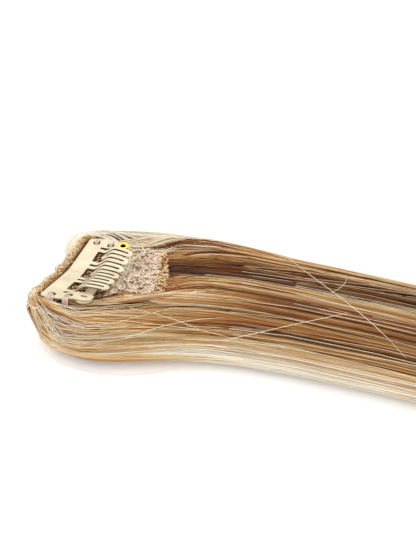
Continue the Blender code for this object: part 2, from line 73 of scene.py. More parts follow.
# %% [markdown]
# ## Two drawing spaces
#
# The clip is easiest to draw flat: x from the band's back edge to the tooth tips, y along the clip, z out of the
# sheet. The hair is easiest to draw from the table up. Both are in millimetres, and both are found from the one
# thing that the frame states exactly, the axis that the clip snaps about.

# %% Spaces
MM = 0.001
CLIP_TILT = math.radians(6.2)
CLIP_RISE = 2.05
CLIP_LEVEL = 11.2

tilt = np.array(Matrix.Rotation(CLIP_TILT, 3, "Y"))
hinge = np.array(frame["joints"][0]["pos_m"]) / MM
clip_origin = hinge - tilt @ (0.0, 0.0, CLIP_RISE)
table_origin = clip_origin - (0.0, 0.0, CLIP_LEVEL)


def clip_to_hair(points):
    """From the clip's flat space to the hair's."""
    return np.asarray(points, float) @ tilt.T + (0.0, 0.0, CLIP_LEVEL)


def hair_to_world(points):
    """From the hair's space to metres in the frame."""
    return (np.asarray(points, float) + table_origin) * MM


def clip_to_world(points):
    return hair_to_world(clip_to_hair(points))


def spots_of(mesh):
    return np.array([vertex.co for vertex in mesh.vertices])


def move_to(mesh, spots):
    """Sets the mesh's vertices at the given spots, in metres in the frame."""
    mesh.vertices.foreach_set("co", spots.ravel())


def mix(a, b, share):
    return a + (b - a) * share


def smooth(value, low, high):
    share = np.clip((np.asarray(value, float) - low) / (high - low), 0.0, 1.0)
    return share * share * (3 - 2 * share)


print("clip origin, mm:", clip_origin.round(3))

# %% [markdown]
# ## The table, the light and the camera
#
# The picture is high key: a white table, lit a little from inside, under a white sky, so bright that only the
# contact shadow shows. A large soft lamp above the back edge gives the strands their shine. Two more open the
# shadows from the left and the front.

# %% Table, sky, lamps and camera


def colour(red, green, blue):
    """A screen colour, 0 to 255, as the linear values that shaders use."""
    return tuple((c / 12.92 if c <= 0.04045 else ((c + 0.055) / 1.055) ** 2.4)
                 for c in (value / 255 for value in (red, green, blue)))


SKY_STRENGTH = 1.06
TABLE_HALF = 14.0
TABLE_GLOW = 0.13

scene = bpy.context.scene
scene.view_settings.view_transform = "Standard"

sky = bpy.data.worlds.new("white sky")
sky.use_nodes = True
background = sky.node_tree.nodes["Background"].inputs
background["Color"].default_value = (1.0, 0.995, 0.985, 1.0)
background["Strength"].default_value = SKY_STRENGTH
scene.world = sky

table = bpy.data.objects.new("table", bpy.data.meshes.new("table"))
scene.collection.objects.link(table)
board = bmesh.new()
bmesh.ops.create_grid(board, x_segments=1, y_segments=1, size=TABLE_HALF)
board.to_mesh(table.data)
board.free()
white = bpy.data.materials.new("white table")
white.use_nodes = True
for label, value in (("Base Color", (0.97, 0.97, 0.97, 1.0)), ("Roughness", 0.7),
                     ("Emission Color", (1.0, 1.0, 1.0, 1.0)), ("Emission Strength", TABLE_GLOW)):
    white.node_tree.nodes["Principled BSDF"].inputs[label].default_value = value
table.data.materials.append(white)


def lamp(name, place, aim, size, power, tint=(1.0, 1.0, 1.0)):
    light = bpy.data.lights.new(name, "AREA")
    light.shape = "RECTANGLE"
    light.size, light.size_y = size
    light.energy = power
    light.color = tint
    holder = bpy.data.objects.new(name, light)
    holder.location = place
    holder.rotation_euler = (Vector(aim) - Vector(place)).to_track_quat("-Z", "Y").to_euler()
    scene.collection.objects.link(holder)


focus = Vector(hair_to_world((40.0, 0.0, 6.0)))
lamp("back lamp", focus + Vector((-0.05, 0.75, 0.95)), focus, (1.0, 0.6), 3.2, (1.0, 0.99, 0.97))
lamp("left lamp", focus + Vector((-0.9, -0.25, 0.75)), focus, (0.7, 0.7), 1.0)
lamp("front fill", focus + Vector((0.15, -0.8, 0.5)), focus, (1.2, 0.6), 1.1)

VIEW_RIGHT = (0.9803, 0.1977, 0.0)
VIEW_UP = (-0.1012, 0.5019, 0.8590)
VIEW_BACK = (0.1698, -0.8420, 0.5120)
CAMERA_FROM_CLIP = (61.47, -107.56, 67.77)
FOCAL_PIXELS = 487.0
LONG_SIDE_PIXELS = 555.0

camera = bpy.data.objects.new("camera", bpy.data.cameras.new("camera"))
camera.data.sensor_fit = "AUTO"
camera.data.sensor_width = 36.0
camera.data.lens = 36.0 * FOCAL_PIXELS / LONG_SIDE_PIXELS
camera.data.clip_start = 0.005
camera.matrix_world = Matrix((VIEW_RIGHT, VIEW_UP, VIEW_BACK)).transposed().to_4x4()
camera.location = (clip_origin + CAMERA_FROM_CLIP) * MM
scene.collection.objects.link(camera)
scene.camera = camera
print("lens, mm:", round(camera.data.lens, 2))

# %% [markdown]
# ## Small helpers for geometry trees
#
# Knots, stitches and strands repeat hundreds of times, so Geometry Nodes make them. These helpers build a tree in
# the script, set its named inputs by their identifiers, and turn the result into a plain mesh.

# %% Tree helpers


def new_tree(name, sizes):
    """A geometry tree with the named inputs, and its first and last nodes."""
    tree = bpy.data.node_groups.new(name, "GeometryNodeTree")
    tree.interface.new_socket("Geometry", in_out="INPUT", socket_type="NodeSocketGeometry")
    for label, kind in sizes.items():
        tree.interface.new_socket(label, in_out="INPUT", socket_type="NodeSocket" + kind)
    tree.interface.new_socket("Geometry", in_out="OUTPUT", socket_type="NodeSocketGeometry")
    return tree, tree.nodes.new("NodeGroupInput").outputs, tree.nodes.new("NodeGroupOutput").inputs


def add(tree, kind, inputs=None, out=None, **settings):
    """Adds a node, fills its inputs with values or sockets, and returns the output asked for, or the first live one."""
    made = tree.nodes.new(kind)
    for key, value in settings.items():
        setattr(made, key, value)
    for key, value in (inputs or {}).items():
        live = [socket for socket in made.inputs if socket.enabled]
        socket = live[key] if isinstance(key, int) else next(s for s in live if s.name == key)
        if isinstance(value, bpy.types.NodeSocket):
            tree.links.new(value, socket)
        else:
            socket.default_value = value
    return next(s for s in made.outputs if s.enabled and out in (None, s.name))


def calc(tree, first, operation, second):
    return add(tree, "ShaderNodeMath", {0: first, 1: second}, operation=operation)


def scaled(tree, vector, by):
    return add(tree, "ShaderNodeVectorMath", {0: vector, "Scale": by}, operation="SCALE")


def throw(tree, low, high, seed, **more):
    """A random number, or a random vector where the least value is one."""
    return add(tree, "FunctionNodeRandomValue", {"Min": low, "Max": high, "Seed": seed, **more},
               data_type="FLOAT_VECTOR" if isinstance(low, tuple) else "FLOAT")


def named(tree, name):
    return add(tree, "GeometryNodeInputNamedAttribute", {"Name": name}, data_type="FLOAT")


def give_tone(tree, geometry, value, domain):
    return add(tree, "GeometryNodeStoreNamedAttribute", {"Geometry": geometry, "Name": "tone", "Value": value},
               data_type="FLOAT", domain=domain)


def per_curve(tree, value, kind):
    """One value for the whole of each curve."""
    return add(tree, "GeometryNodeFieldOnDomain", {"Value": value}, domain="CURVE", data_type=kind)


def end_tree(tree, given, result, geometry, smooth_faces=True):
    """Ends a tree: real geometry, with the material that was handed in."""
    real = add(tree, "GeometryNodeRealizeInstances", {"Geometry": geometry})
    if smooth_faces:
        real = add(tree, "GeometryNodeSetShadeSmooth", {"Geometry": real, "Shade Smooth": True})
    painted = add(tree, "GeometryNodeSetMaterial", {"Geometry": real, "Material": given["Material"]})
    tree.links.new(painted, result["Geometry"])


def evaluated(source):
    """The plain mesh that an object's modifiers make. The object is removed."""
    bpy.context.view_layer.update()
    mesh = bpy.data.meshes.new_from_object(source.evaluated_get(bpy.context.evaluated_depsgraph_get()))
    bpy.data.objects.remove(source)
    return mesh


def run_tree(tree, source, values):
    """The plain mesh that the tree makes of the source object. The source is removed."""
    modifier = source.modifiers.new(tree.name, "NODES")
    modifier.node_group = tree
    for socket in tree.interface.items_tree:
        if socket.item_type == "SOCKET" and socket.in_out == "INPUT" and socket.name in values:
            modifier[socket.identifier] = values[socket.name]
    return evaluated(source)


def finished(name, work):
    """The mesh of a finished bmesh, which is freed."""
    mesh = bpy.data.meshes.new(name)
    work.to_mesh(mesh)
    work.free()
    return mesh


def store(mesh, label, values, domain="POINT"):
    """A named number at each point or face, for a material to read."""
    mesh.attributes.new(label, "FLOAT", domain).data.foreach_set("value", np.asarray(values, np.float32))


def loft_mesh(name, rings):
    """A closed mesh through rings of equal count."""
    made = bmesh.new()
    rows = [[made.verts.new(point) for point in ring] for ring in rings]
    for before, after in zip(rows, rows[1:]):
        for corner in range(len(before)):
            nxt = (corner + 1) % len(before)
            made.faces.new((before[corner], before[nxt], after[nxt], after[corner]))
    made.faces.new(rows[0][::-1])
    made.faces.new(rows[-1])
    bmesh.ops.recalc_face_normals(made, faces=made.faces)
    return finished(name, made)


def show(name, mesh, finish=None):
    """A finished mesh as an object at the origin."""
    mesh.name = name
    if finish:
        mesh.materials.clear()
        mesh.materials.append(finish)
    piece = bpy.data.objects.new(name, mesh)
    scene.collection.objects.link(piece)
    return piece


def triangles(piece):
    return sum(len(face.vertices) - 2 for face in piece.data.polygons)


# %% [markdown]
# ## Cream lacquer and brass
#
# The clip is spring steel under a cream lacquer. It could be one flat colour with a gloss, but real lacquer pools
# a little, is rubbed at random and shows fine dimples, so two noises drive its colour and its bump. The walls of
# the slits are painted dark olive, as painted shade. Brass is a metal with a warm colour, and the inside of its
# bore is painted nearly black, as painted shade.

# %% Material helpers and the clip's finishes


def new_finish(name, roughness, **values):
    """A Principled material with plain values on its own sockets."""
    made = bpy.data.materials.new(name)
    made.use_nodes = True
    shader = made.node_tree.nodes["Principled BSDF"]
    shader.inputs["Roughness"].default_value = roughness
    for label, value in values.items():
        shader.inputs[label.replace("_", " ")].default_value = value
    return made, made.node_tree, shader


def noise(tree, vector, scale, detail=3.0, rough=0.5):
    return add(tree, "ShaderNodeTexNoise", {"Vector": vector, "Scale": scale, "Detail": detail, "Roughness": rough})


def ramp(tree, value, stops):
    """A colour ramp with its stops as (place, screen colour)."""
    made = tree.nodes.new("ShaderNodeValToRGB")
    band = made.color_ramp
    while len(band.elements) < len(stops):
        band.elements.new(0.5)
    for element, (place, tint) in zip(band.elements, stops):
        element.position = place
        element.color = (*colour(*tint), 1.0)
    tree.links.new(value, made.inputs["Fac"])
    return made.outputs["Color"]


def colour_by(tree, shader, value, stops):
    tree.links.new(ramp(tree, value, stops), shader.inputs["Base Color"])


def bump(tree, shader, height, distance, strength=0.5):
    normal = add(tree, "ShaderNodeBump", {"Height": height, "Distance": distance, "Strength": strength})
    tree.links.new(normal, shader.inputs["Normal"])


def object_space(tree, stretch=(1.0, 1.0, 1.0)):
    place = add(tree, "ShaderNodeTexCoord", out="Object")
    return add(tree, "ShaderNodeMapping", {"Vector": place, "Scale": stretch})


def attribute(tree, name):
    return add(tree, "ShaderNodeAttribute", attribute_name=name, out="Fac")


def tint_by(tree, shader, name, base, tint):
    """The base colour, mixed to the tint where the named number is 1."""
    mixed = add(tree, "ShaderNodeMix", {"Factor": attribute(tree, name), "A": base, "B": (*colour(*tint), 1.0)},
                data_type="RGBA")
    tree.links.new(mixed, shader.inputs["Base Color"])


lacquer, tree, shader = new_finish("cream lacquer", 0.34, Specular_IOR_Level=0.5, Coat_Weight=0.35,
                                   Coat_Roughness=0.2)
place = object_space(tree)
cream = ramp(tree, noise(tree, place, 260.0, 4.0), ((0.25, (204, 189, 153)), (0.6, (222, 208, 174)),
                                                    (0.85, (233, 221, 193))))
# The walls of the slits are painted dark olive, as painted shade between the teeth and along the arms' inner edges.
tint_by(tree, shader, "painted slit shade", cream, (104, 94, 66))
bump(tree, shader, noise(tree, place, 2600.0, 2.0), 0.00004, 0.35)

brass, tree, shader = new_finish("bright brass", 0.22, Metallic=1.0)
place = object_space(tree)
gold = ramp(tree, noise(tree, place, 900.0, 3.0), ((0.3, (226, 176, 40)), (0.7, (255, 222, 84))))
# The bore is painted nearly black, as painted shade inside the eyelet.
tint_by(tree, shader, "bore", gold, (30, 24, 16))
bump(tree, shader, noise(tree, place, 4200.0, 2.0), 0.00003, 0.25)
print("finishes:", lacquer.name, brass.name)

# %% [markdown]
# ## The stamping
#
# The clip's sheet is cut flat and pressed. A 2D curve gives the flat blank, and its own bevel rounds the edges,
# which a plain extrusion would leave razor sharp. The blank is sliced into narrow strips so that it bends without
# facets, and the band and the arms are cut apart along one line, where they still touch, because the band snaps up
# and the arms stay sewn down.

# %% Flat shapes
SHEET = 0.45
EDGE_ROUND = 0.1
BAND_WIDTH = 4.6
CLIP_HALF = 16.0
CLIP_REACH = 15.6
TOOTH_PAIRS = 3
TOOTH_PITCH = 4.1
SLIT = 0.75
INNER_TURN = 3.3
ARM_INNER = TOOTH_PAIRS * TOOTH_PITCH + SLIT / 2
ARM_WIDTH = CLIP_HALF - TOOTH_PAIRS * TOOTH_PITCH
ARM_LENGTH = 6.2
LUG_X = BAND_WIDTH + ARM_LENGTH
LUG_RADIUS = 2.05
FAR_LUG = np.array((LUG_X, CLIP_HALF - 0.4 * ARM_WIDTH))
NEAR_LUG = np.array((LUG_X, 0.6 * ARM_WIDTH - CLIP_HALF))
SEWING_HOLE = (BAND_WIDTH + 0.39 * ARM_LENGTH, CLIP_HALF - 0.47 * ARM_WIDTH, 1.1)
CORNER_HOLE = (0.55 * BAND_WIDTH, CLIP_HALF - 0.41 * ARM_WIDTH, 1.05)
EYELET_BARREL = 1.05
SLIT_END = SLIT / 2
TOOTH_ROUND = (TOOTH_PITCH - SLIT) / 2
TOOTH_TIP = CLIP_REACH - TOOTH_ROUND
STUB = 0.3
CREASE_DEPTH = 0.16
CREASE_HALF = 0.16


def arc(centre, radius, start, end, steps):
    angles = np.radians(np.linspace(start, end, steps + 1))
    return [(centre[0] + radius * math.cos(a), centre[1] + radius * math.sin(a)) for a in angles]


def hole(centre, radius, steps=24):
    return arc(centre, radius, 0, 360, steps)[:-1]


def flat_blank(outer, holes, cuts_x, cuts_y):
    """A flat plate with round edges, in millimetres, sliced along the given lines."""
    drawing = bpy.data.curves.new("blank", "CURVE")
    drawing.dimensions = "2D"
    drawing.fill_mode = "BOTH"
    drawing.extrude = SHEET / 2 - EDGE_ROUND
    drawing.bevel_depth = EDGE_ROUND
    drawing.bevel_resolution = 1
    drawing.offset = -EDGE_ROUND
    for loop in (outer, *holes):
        spline = drawing.splines.new("POLY")
        spline.points.add(len(loop) - 1)
        spline.use_cyclic_u = True
        for point, (x, y) in zip(spline.points, loop):
            point.co = (x, y, 0.0, 1.0)
    holder = bpy.data.objects.new("blank", drawing)
    scene.collection.objects.link(holder)
    plate = bmesh.new()
    plate.from_mesh(evaluated(holder))
    bmesh.ops.remove_doubles(plate, verts=plate.verts, dist=0.001)
    for normal, cuts in (((1, 0, 0), cuts_x), ((0, 1, 0), cuts_y)):
        for cut in cuts:
            everything = [*plate.verts, *plate.edges, *plate.faces]
            bmesh.ops.bisect_plane(plate, geom=everything, dist=0.002, plane_co=Vector(normal) * cut, plane_no=normal)
    return plate


def part_at_neck(plate, drop):
    """Takes away the faces that drop() names and closes the plate along the line where they were."""
    gone = [face for face in plate.faces if drop(face.calc_center_median())]
    bmesh.ops.delete(plate, geom=gone, context="FACES")
    rim = [edge for edge in plate.edges if edge.is_boundary]
    bmesh.ops.holes_fill(plate, edges=rim)


def shade_edges(mesh):
    """Smooth faces with sharp edges between them."""
    mesh.shade_smooth()
    mesh.set_sharp_from_angle(angle=math.radians(38))


def pressed(name, plate, bend, finish, in_slits=lambda spot: False):
    """Bends the flat plate and sets it on the hair as a finished piece. in_slits() says where the walls of the slits
    get painted shade.
    """
    bmesh.ops.triangulate(plate, faces=plate.faces)
    bmesh.ops.recalc_face_normals(plate, faces=plate.faces)
    mesh = finished(name, plate)
    # Marks the walls inside the slits for the painted shade.
    slit_shade = [float(abs(face.normal.z) < 0.75 and in_slits(face.center)) for face in mesh.polygons]
    store(mesh, "painted slit shade", slit_shade, "FACE")
    move_to(mesh, clip_to_world(np.array([bend(*spot) for spot in spots_of(mesh)])))
    shade_edges(mesh)
    return show(name, mesh, finish)


print("teeth:", 2 * TOOTH_PAIRS, "pitch", TOOTH_PITCH)

# %% The press
CREASE_SOFTNESS = 1.8
PAST_END_SLOPE = 0.45


def sheet_rise(y):
    """The clip is bent along its length, ends up, and most of the bend is at the crease across its middle."""
    inside = min(abs(y), CLIP_HALF)
    full = math.hypot(CLIP_HALF, CREASE_SOFTNESS) - CREASE_SOFTNESS
    risen = CLIP_RISE * (math.hypot(inside, CREASE_SOFTNESS) - CREASE_SOFTNESS) / full
    return risen - PAST_END_SLOPE * (abs(y) - inside)


def sheet_lean(y):
    """The slope of that bend, as an angle."""
    return math.atan((sheet_rise(y + 0.1) - sheet_rise(y - 0.1)) / 0.2)


def tooth_height(x):
    return 2.5 * smooth(x, BAND_WIDTH + 0.10 * CLIP_REACH, 0.66 * CLIP_REACH) - 0.25 * smooth(
        x, 0.75 * CLIP_REACH, CLIP_REACH)


def crease(x, y):
    """The fine fold across the middle of the band."""
    return -CREASE_DEPTH * max(0.0, 1 - abs(y) / CREASE_HALF) if x < BAND_WIDTH - 0.2 else 0.0


def bend_comb(x, y, z):
    drawn = y * mix(1.0, 0.885, max(x - BAND_WIDTH, 0.0) / (CLIP_REACH - BAND_WIDTH))
    return x, drawn, z + tooth_height(x) + sheet_rise(drawn) + crease(x, y)


def bend_arm(raised):
    def bend(x, y, z):
        return x, y, z + sheet_rise(y) + raised * smooth(x, BAND_WIDTH, LUG_X - 0.3 * ARM_LENGTH)
    return bend


NEAR_RAISE, FAR_RAISE = 0.9, 0.3

# %% Band and teeth


def comb_blank():
    corner = 0.9
    stub = BAND_WIDTH + STUB
    outer = [(stub, -CLIP_HALF)]
    outer += arc((corner, corner - CLIP_HALF), corner, 270, 180, 6)
    outer += arc((corner, CLIP_HALF - corner), corner, 180, 90, 6)
    outer += [(stub, CLIP_HALF), (stub, ARM_INNER - SLIT_END + 0.37)]
    outer += arc((BAND_WIDTH + SLIT_END, ARM_INNER - SLIT_END), SLIT_END, 95, 270, 7)
    count = 2 * TOOTH_PAIRS
    for index in range(count):
        middle = ARM_INNER - SLIT_END - (index + 0.5) * TOOTH_PITCH
        outer += arc((TOOTH_TIP, middle), TOOTH_ROUND, 90, -90, 18)
        if index < count - 1:
            bottom = BAND_WIDTH + SLIT_END + (INNER_TURN if index % 2 == 0 else 0.0)
            outer += arc((bottom, middle - TOOTH_PITCH / 2), SLIT_END, 90, 270, 8)
    outer += arc((BAND_WIDTH + SLIT_END, SLIT_END - ARM_INNER), SLIT_END, 90, 265, 7)
    outer.append((stub, SLIT_END - ARM_INNER - 0.37))
    return outer


def tooth_window(middle):
    """The opening in each pair of teeth: a window by the band with a slit into either tooth."""
    leg, corner = TOOTH_PITCH / 2, 0.45
    side = leg + SLIT_END
    turn = (BAND_WIDTH + INNER_TURN + SLIT_END, middle)
    window = arc((BAND_WIDTH + corner, middle - side + corner), corner, 270, 180, 5)
    window += arc((BAND_WIDTH + corner, middle + side - corner), corner, 180, 90, 5)
    window += arc((TOOTH_TIP, middle + leg), SLIT_END, 90, -90, 8)
    window += arc(turn, leg - SLIT_END, 90, 270, 12)
    window += arc((TOOTH_TIP, middle - leg), SLIT_END, 90, -90, 8)
    return window


windows = [tooth_window((pair - (TOOTH_PAIRS - 1) / 2) * 2 * TOOTH_PITCH) for pair in range(TOOTH_PAIRS)]
corners = [hole((CORNER_HOLE[0], side * CORNER_HOLE[1]), CORNER_HOLE[2]) for side in (-1, 1)]
cuts_x = [BAND_WIDTH, *np.arange(5.2, CLIP_REACH, 0.5)]
cuts_y = [-CREASE_HALF, 0.0, CREASE_HALF, *np.arange(-15.5, 0, 1.0), *np.arange(0.5, 16, 1.0)]
plate = flat_blank(comb_blank(), windows + corners, cuts_x, cuts_y)
part_at_neck(plate, lambda c: c.x > BAND_WIDTH and abs(c.y) > ARM_INNER - SLIT_END + 0.01)
clip_comb = pressed("clip_band_and_teeth", plate, bend_comb, lacquer,
                    lambda spot: BAND_WIDTH - 0.1 < spot.x < CLIP_REACH - 1.4 and abs(spot.y) < ARM_INNER + 0.1)
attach(clip_comb, "comb")
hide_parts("clip_comb")
print("band and teeth:", triangles(clip_comb), "triangles")

# %% Arms


def arm_blank(side, lug):
    """The far arm's outline, or the near one's for side -1, from just behind the neck."""
    behind = BAND_WIDTH - STUB
    notch = arc((BAND_WIDTH + SLIT_END, side * (ARM_INNER - SLIT_END)), SLIT_END, 180, 180 - 90 * side, 5)
    end = arc(lug, LUG_RADIUS, -90 * side, 90 * side, 20)
    return [(behind, side * CLIP_HALF), (behind, side * (ARM_INNER - SLIT_END)), *notch, *end]


near_slot = arc(NEAR_LUG + (0.5, 0), 0.45, -90, 90, 8) + arc(NEAR_LUG - (0.5, 0), 0.45, 90, 270, 8)
for name, side, lug, raised, window, node in (
        ("clip_far_arm", 1, FAR_LUG, FAR_RAISE, hole(FAR_LUG, EYELET_BARREL + 0.3), "clip_arm_far"),
        ("clip_near_arm", -1, NEAR_LUG, NEAR_RAISE, near_slot, "clip_frame")):
    sewing = hole((SEWING_HOLE[0], side * SEWING_HOLE[1]), SEWING_HOLE[2])
    across = sorted((side * 12.4, side * 16.4))
    plate = flat_blank(arm_blank(side, lug), [sewing, window], [BAND_WIDTH, *np.arange(5.2, 13, 0.6)],
                       np.arange(*across, 0.8))
    part_at_neck(plate, lambda c: c.x < BAND_WIDTH)
    arm = pressed(name, plate, bend_arm(raised), lacquer, lambda spot: abs(spot.y) < ARM_INNER + 0.1)
    start, end = (clip_to_world((x, side * 14.4, 1.8)) for x in (9.4, BAND_WIDTH))
    tuple(start)
    tuple(end)
    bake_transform(arm)
    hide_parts(node)
    print(name, triangles(arm), "triangles")

# %% [markdown]
# ## The grip bar
#
# The near arm is folded back under itself into the bar that the teeth close on. The bar is another flat blank,
# and the fold is a half ring drawn as a closed C and pushed along the clip's length.

# %% Grip bar with its fold
BAR_WIDTH = 2.4
BAR_BOW = 1.25
METAL_GAP = 0.15


def bar_height(y):
    """The bar hugs the arms at its ends and bows up under the teeth between them."""
    at_arm = sheet_rise(y) + (NEAR_RAISE if y < 0 else FAR_RAISE) - SHEET - METAL_GAP
    bowed = BAR_BOW + sheet_rise(0.6 * y)
    return mix(bowed, at_arm, smooth(abs(y), 0.35 * CLIP_HALF, ARM_INNER - SLIT))


foot = math.degrees(math.asin(BAR_WIDTH / 2 / LUG_RADIUS))
near_foot = NEAR_LUG - (0.0, 0.35)
outer = arc(FAR_LUG, LUG_RADIUS - METAL_GAP, foot - 90, 270 - foot, 24)
outer += arc(near_foot, LUG_RADIUS, 90 + foot, 450 - foot, 24)
plate = flat_blank(outer, [hole(FAR_LUG, EYELET_BARREL + 0.3)], [], np.arange(-15.6, 16, 0.7))

fold_top = sheet_rise(NEAR_LUG[1]) + NEAR_RAISE
outside, inside = SHEET + METAL_GAP / 2 - 0.01, METAL_GAP / 2
profile = arc((0, 0), outside, 90, -90, 12) + arc((0, 0), inside, -90, 90, 8)
lean = sheet_lean(NEAR_LUG[1])
rings = []
for share in np.linspace(-0.62, 0.62, 6):
    ring = []
    for across, up in profile:
        y = share * LUG_RADIUS
        ring.append((NEAR_LUG[0] + 0.78 * LUG_RADIUS + across, NEAR_LUG[1] + y,
                     fold_top - SHEET / 2 - METAL_GAP / 2 + up + y * math.tan(lean)))
    rings.append(ring)
bar = pressed("clip_grip_bar", plate, lambda x, y, z: (x, y, z + bar_height(y)), lacquer)

fold_mesh = loft_mesh("clip_fold", [clip_to_world(ring) for ring in rings])
shade_edges(fold_mesh)
fold_piece = show("clip_fold", fold_mesh, lacquer)
for piece in (bar, fold_piece):
    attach(piece, "base")
    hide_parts("clip_frame")
print("bar:", triangles(bar), "fold:", triangles(fold_piece))

# %% [markdown]
# ## The eyelet
#
# A brass eyelet is turned: one closed outline spun once round. The Screw modifier does that, with enough steps
# for its rim to look round from close by. It clamps the bar under the far arm.

# %% Eyelet
top, bottom = SHEET / 2 + METAL_GAP, -1.5 * SHEET - 2 * METAL_GAP
bore, rim_radius, flange = 0.78, 1.72, 0.34
lip = mix(bore, rim_radius, 0.5)
outline = [(bore + 0.02, top + 0.1 * flange)]
outline += [(lip + (rim_radius - bore) / 2 * math.cos(a), top + 0.42 * flange + 0.58 * flange * math.sin(a))
            for a in np.radians(np.linspace(180, 0, 13))]
outline += [(rim_radius - 0.06, top), (EYELET_BARREL, top), (EYELET_BARREL, bottom), (rim_radius - 0.3, bottom),
            (rim_radius - 0.24, bottom - 0.5 * flange), (lip, bottom - flange), (bore + 0.04, bottom - 0.7 * flange),
            (bore, bottom)]
turned = bpy.data.meshes.new("eyelet")
turned.from_pydata([(radius, 0.0, height) for radius, height in outline],
                   [(i, (i + 1) % len(outline)) for i in range(len(outline))], [])
holder = bpy.data.objects.new("eyelet", turned)
scene.collection.objects.link(holder)
screw = holder.modifiers.new("turned", "SCREW")
screw.steps = screw.render_steps = 48
screw.use_merge_vertices = True
screw.merge_threshold = 0.0001
ring = bmesh.new()
ring.from_mesh(evaluated(holder))
bmesh.ops.recalc_face_normals(ring, faces=ring.faces)
mesh = finished("eyelet_ring", ring)
# The inner faces of the bore take the painted shade.
bore_shade = [float(math.hypot(v.co.x, v.co.y) < 0.9 and v.co.z < top + 0.3 * flange) for v in mesh.vertices]
store(mesh, "bore", bore_shade)
lean = sheet_lean(FAR_LUG[1])
seat = Matrix.Translation((*FAR_LUG, sheet_rise(FAR_LUG[1]) + FAR_RAISE)) @ Matrix.Rotation(lean, 4, "X")
mesh.transform(seat)
move_to(mesh, clip_to_world(spots_of(mesh)))
mesh.shade_smooth()
eyelet = show("eyelet_ring", mesh, brass)
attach(eyelet, "base")
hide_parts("eyelet")
print("eyelet:", triangles(eyelet), "triangles")

# %% [markdown]
# ## Measuring the bundle
#
# The strands have to lie where the solid locks lie. A ray is shot at the solid from outside, at some thirty
# stations along the hair and all round each of them. The hits become a smooth tube in two numbers, the station
# and an angle: 0 is the far edge, 90 the top, 180 the near edge and 270 the underside.

# %% Sections of the solid hair
ROUND = 60
CENTRE_HEIGHT = 0.42
UP_REACH = 0.6
TUBE_FLOOR = 0.12
HAIR_LENGTH = 355.0
STATIONS = np.array((-2, 0, 2, 4, 7, 10, 13, 16, 20, 24, 28, 33, 38, 44, 51, 60, 70, 81, 93, 106, 120, 136, 154, 174,
                     196, 220, 246, 272, 298, 320, 336, 346, 351), float)


def surface_of(node):
    """The node's surface in the hair's space, ready for rays."""
    mesh = frame["nodes"][node].data
    spots = [Vector(spot) for spot in spots_of(mesh) / MM - table_origin]
    return BVHTree.FromPolygons(spots, [tuple(face.vertices) for face in mesh.polygons])


solid_hair = surface_of("hair")


def shoot(start, way):
    return solid_hair.ray_cast(Vector(start), Vector(way))[0]


def measure_section(x):
    """The middle, the half width and the height of the solid at x."""
    near, far = [], []
    for level in np.arange(0.3, 11, 0.35):
        for side, found in ((-1, near), (1, far)):
            hit = shoot((x, side * 90.0, level), (0, -side, 0))
            if hit:
                found.append(hit.y)
    if not near:
        raise ValueError(f"the solid hair has no section at {x} mm")
    tops = [hit.z for y in np.linspace(min(near), max(far), 16) if (hit := shoot((x, y, 40.0), (0, 0, -1)))]
    return (min(near) + max(far)) / 2, (max(far) - min(near)) / 2, max(tops)


sections = np.array([measure_section(x) for x in STATIONS])
middle_y, half_wide, tall = sections.T
angles = np.arange(ROUND) * 2 * math.pi / ROUND
reach = np.ones((len(STATIONS), ROUND))
for row, x in enumerate(STATIONS):
    centre = Vector((x, middle_y[row], CENTRE_HEIGHT * tall[row]))
    for column, angle in enumerate(angles):
        way = Vector((0.0, half_wide[row] * math.cos(angle), UP_REACH * tall[row] * math.sin(angle)))
        hit = shoot(centre + 3 * way, -way)
        if hit:
            reach[row, column] = min((hit - centre).length / way.length, 1.3)
for _ in range(2):
    reach[1:-1] = (reach[:-2] + 2 * reach[1:-1] + reach[2:]) / 4
reach = (np.roll(reach, 1, 1) + 2 * reach + np.roll(reach, -1, 1)) / 4


def on_bundle(x, angle, depth):
    """Points on the measured tube, depth millimetres under it. Angles are in degrees."""
    x, angle, depth = np.broadcast_arrays(np.asarray(x, float), np.radians(angle), depth)
    row = np.clip(np.interp(x, STATIONS, np.arange(len(STATIONS))), 0, len(STATIONS) - 1.001)
    column = (angle / (2 * math.pi) * ROUND) % ROUND
    r0, c0 = row.astype(int), column.astype(int) % ROUND
    fr, fc = row - r0, column - column.astype(int)
    c1 = (c0 + 1) % ROUND
    share = (1 - fr) * ((1 - fc) * reach[r0, c0] + fc * reach[r0, c1]) + fr * (
        (1 - fc) * reach[r0 + 1, c0] + fc * reach[r0 + 1, c1])
    y0, wide, high = (np.interp(x, STATIONS, values) for values in (middle_y, half_wide, tall))
    out_y, out_z = np.cos(angle) / wide, np.sin(angle) / high
    length = np.hypot(out_y, out_z)
    y = y0 + share * wide * np.cos(angle) - depth * out_y / length
    z = CENTRE_HEIGHT * high + share * UP_REACH * high * np.sin(angle) - depth * out_z / length
    return np.stack((x, y, np.maximum(z, TUBE_FLOOR)), -1)


print("bundle at 60 mm: middle, half width, height:", sections[STATIONS == 60][0].round(1))

# %% [markdown]
# ## Hair colour
#
# The hair is a mix of dyed strands, from dark brown to nearly white, and it is the mix that makes it look real.
# Each strand carries one number, its tone, and the material looks the tone up in a ramp. Painting an image would
# blur the strands, and one colour for all would look like plastic.

# %% Hair finishes
HAIR_TONES = ((0.00, (56, 31, 15)), (0.16, (106, 60, 28)), (0.34, (161, 99, 44)), (0.52, (204, 148, 80)),
              (0.70, (226, 192, 138)), (0.86, (242, 225, 192)), (1.00, (251, 242, 224)))

hair_finish, tree, shader = new_finish("mixed blonde strands", 0.40, Specular_IOR_Level=0.28)
drift = calc(tree, noise(tree, object_space(tree, (1.0, 3.0, 3.0)), 55.0, 2.0), "SUBTRACT", 0.5)
toned = calc(tree, attribute(tree, "tone"), "ADD", calc(tree, drift, "MULTIPLY", 0.22))
colour_by(tree, shader, toned, HAIR_TONES)
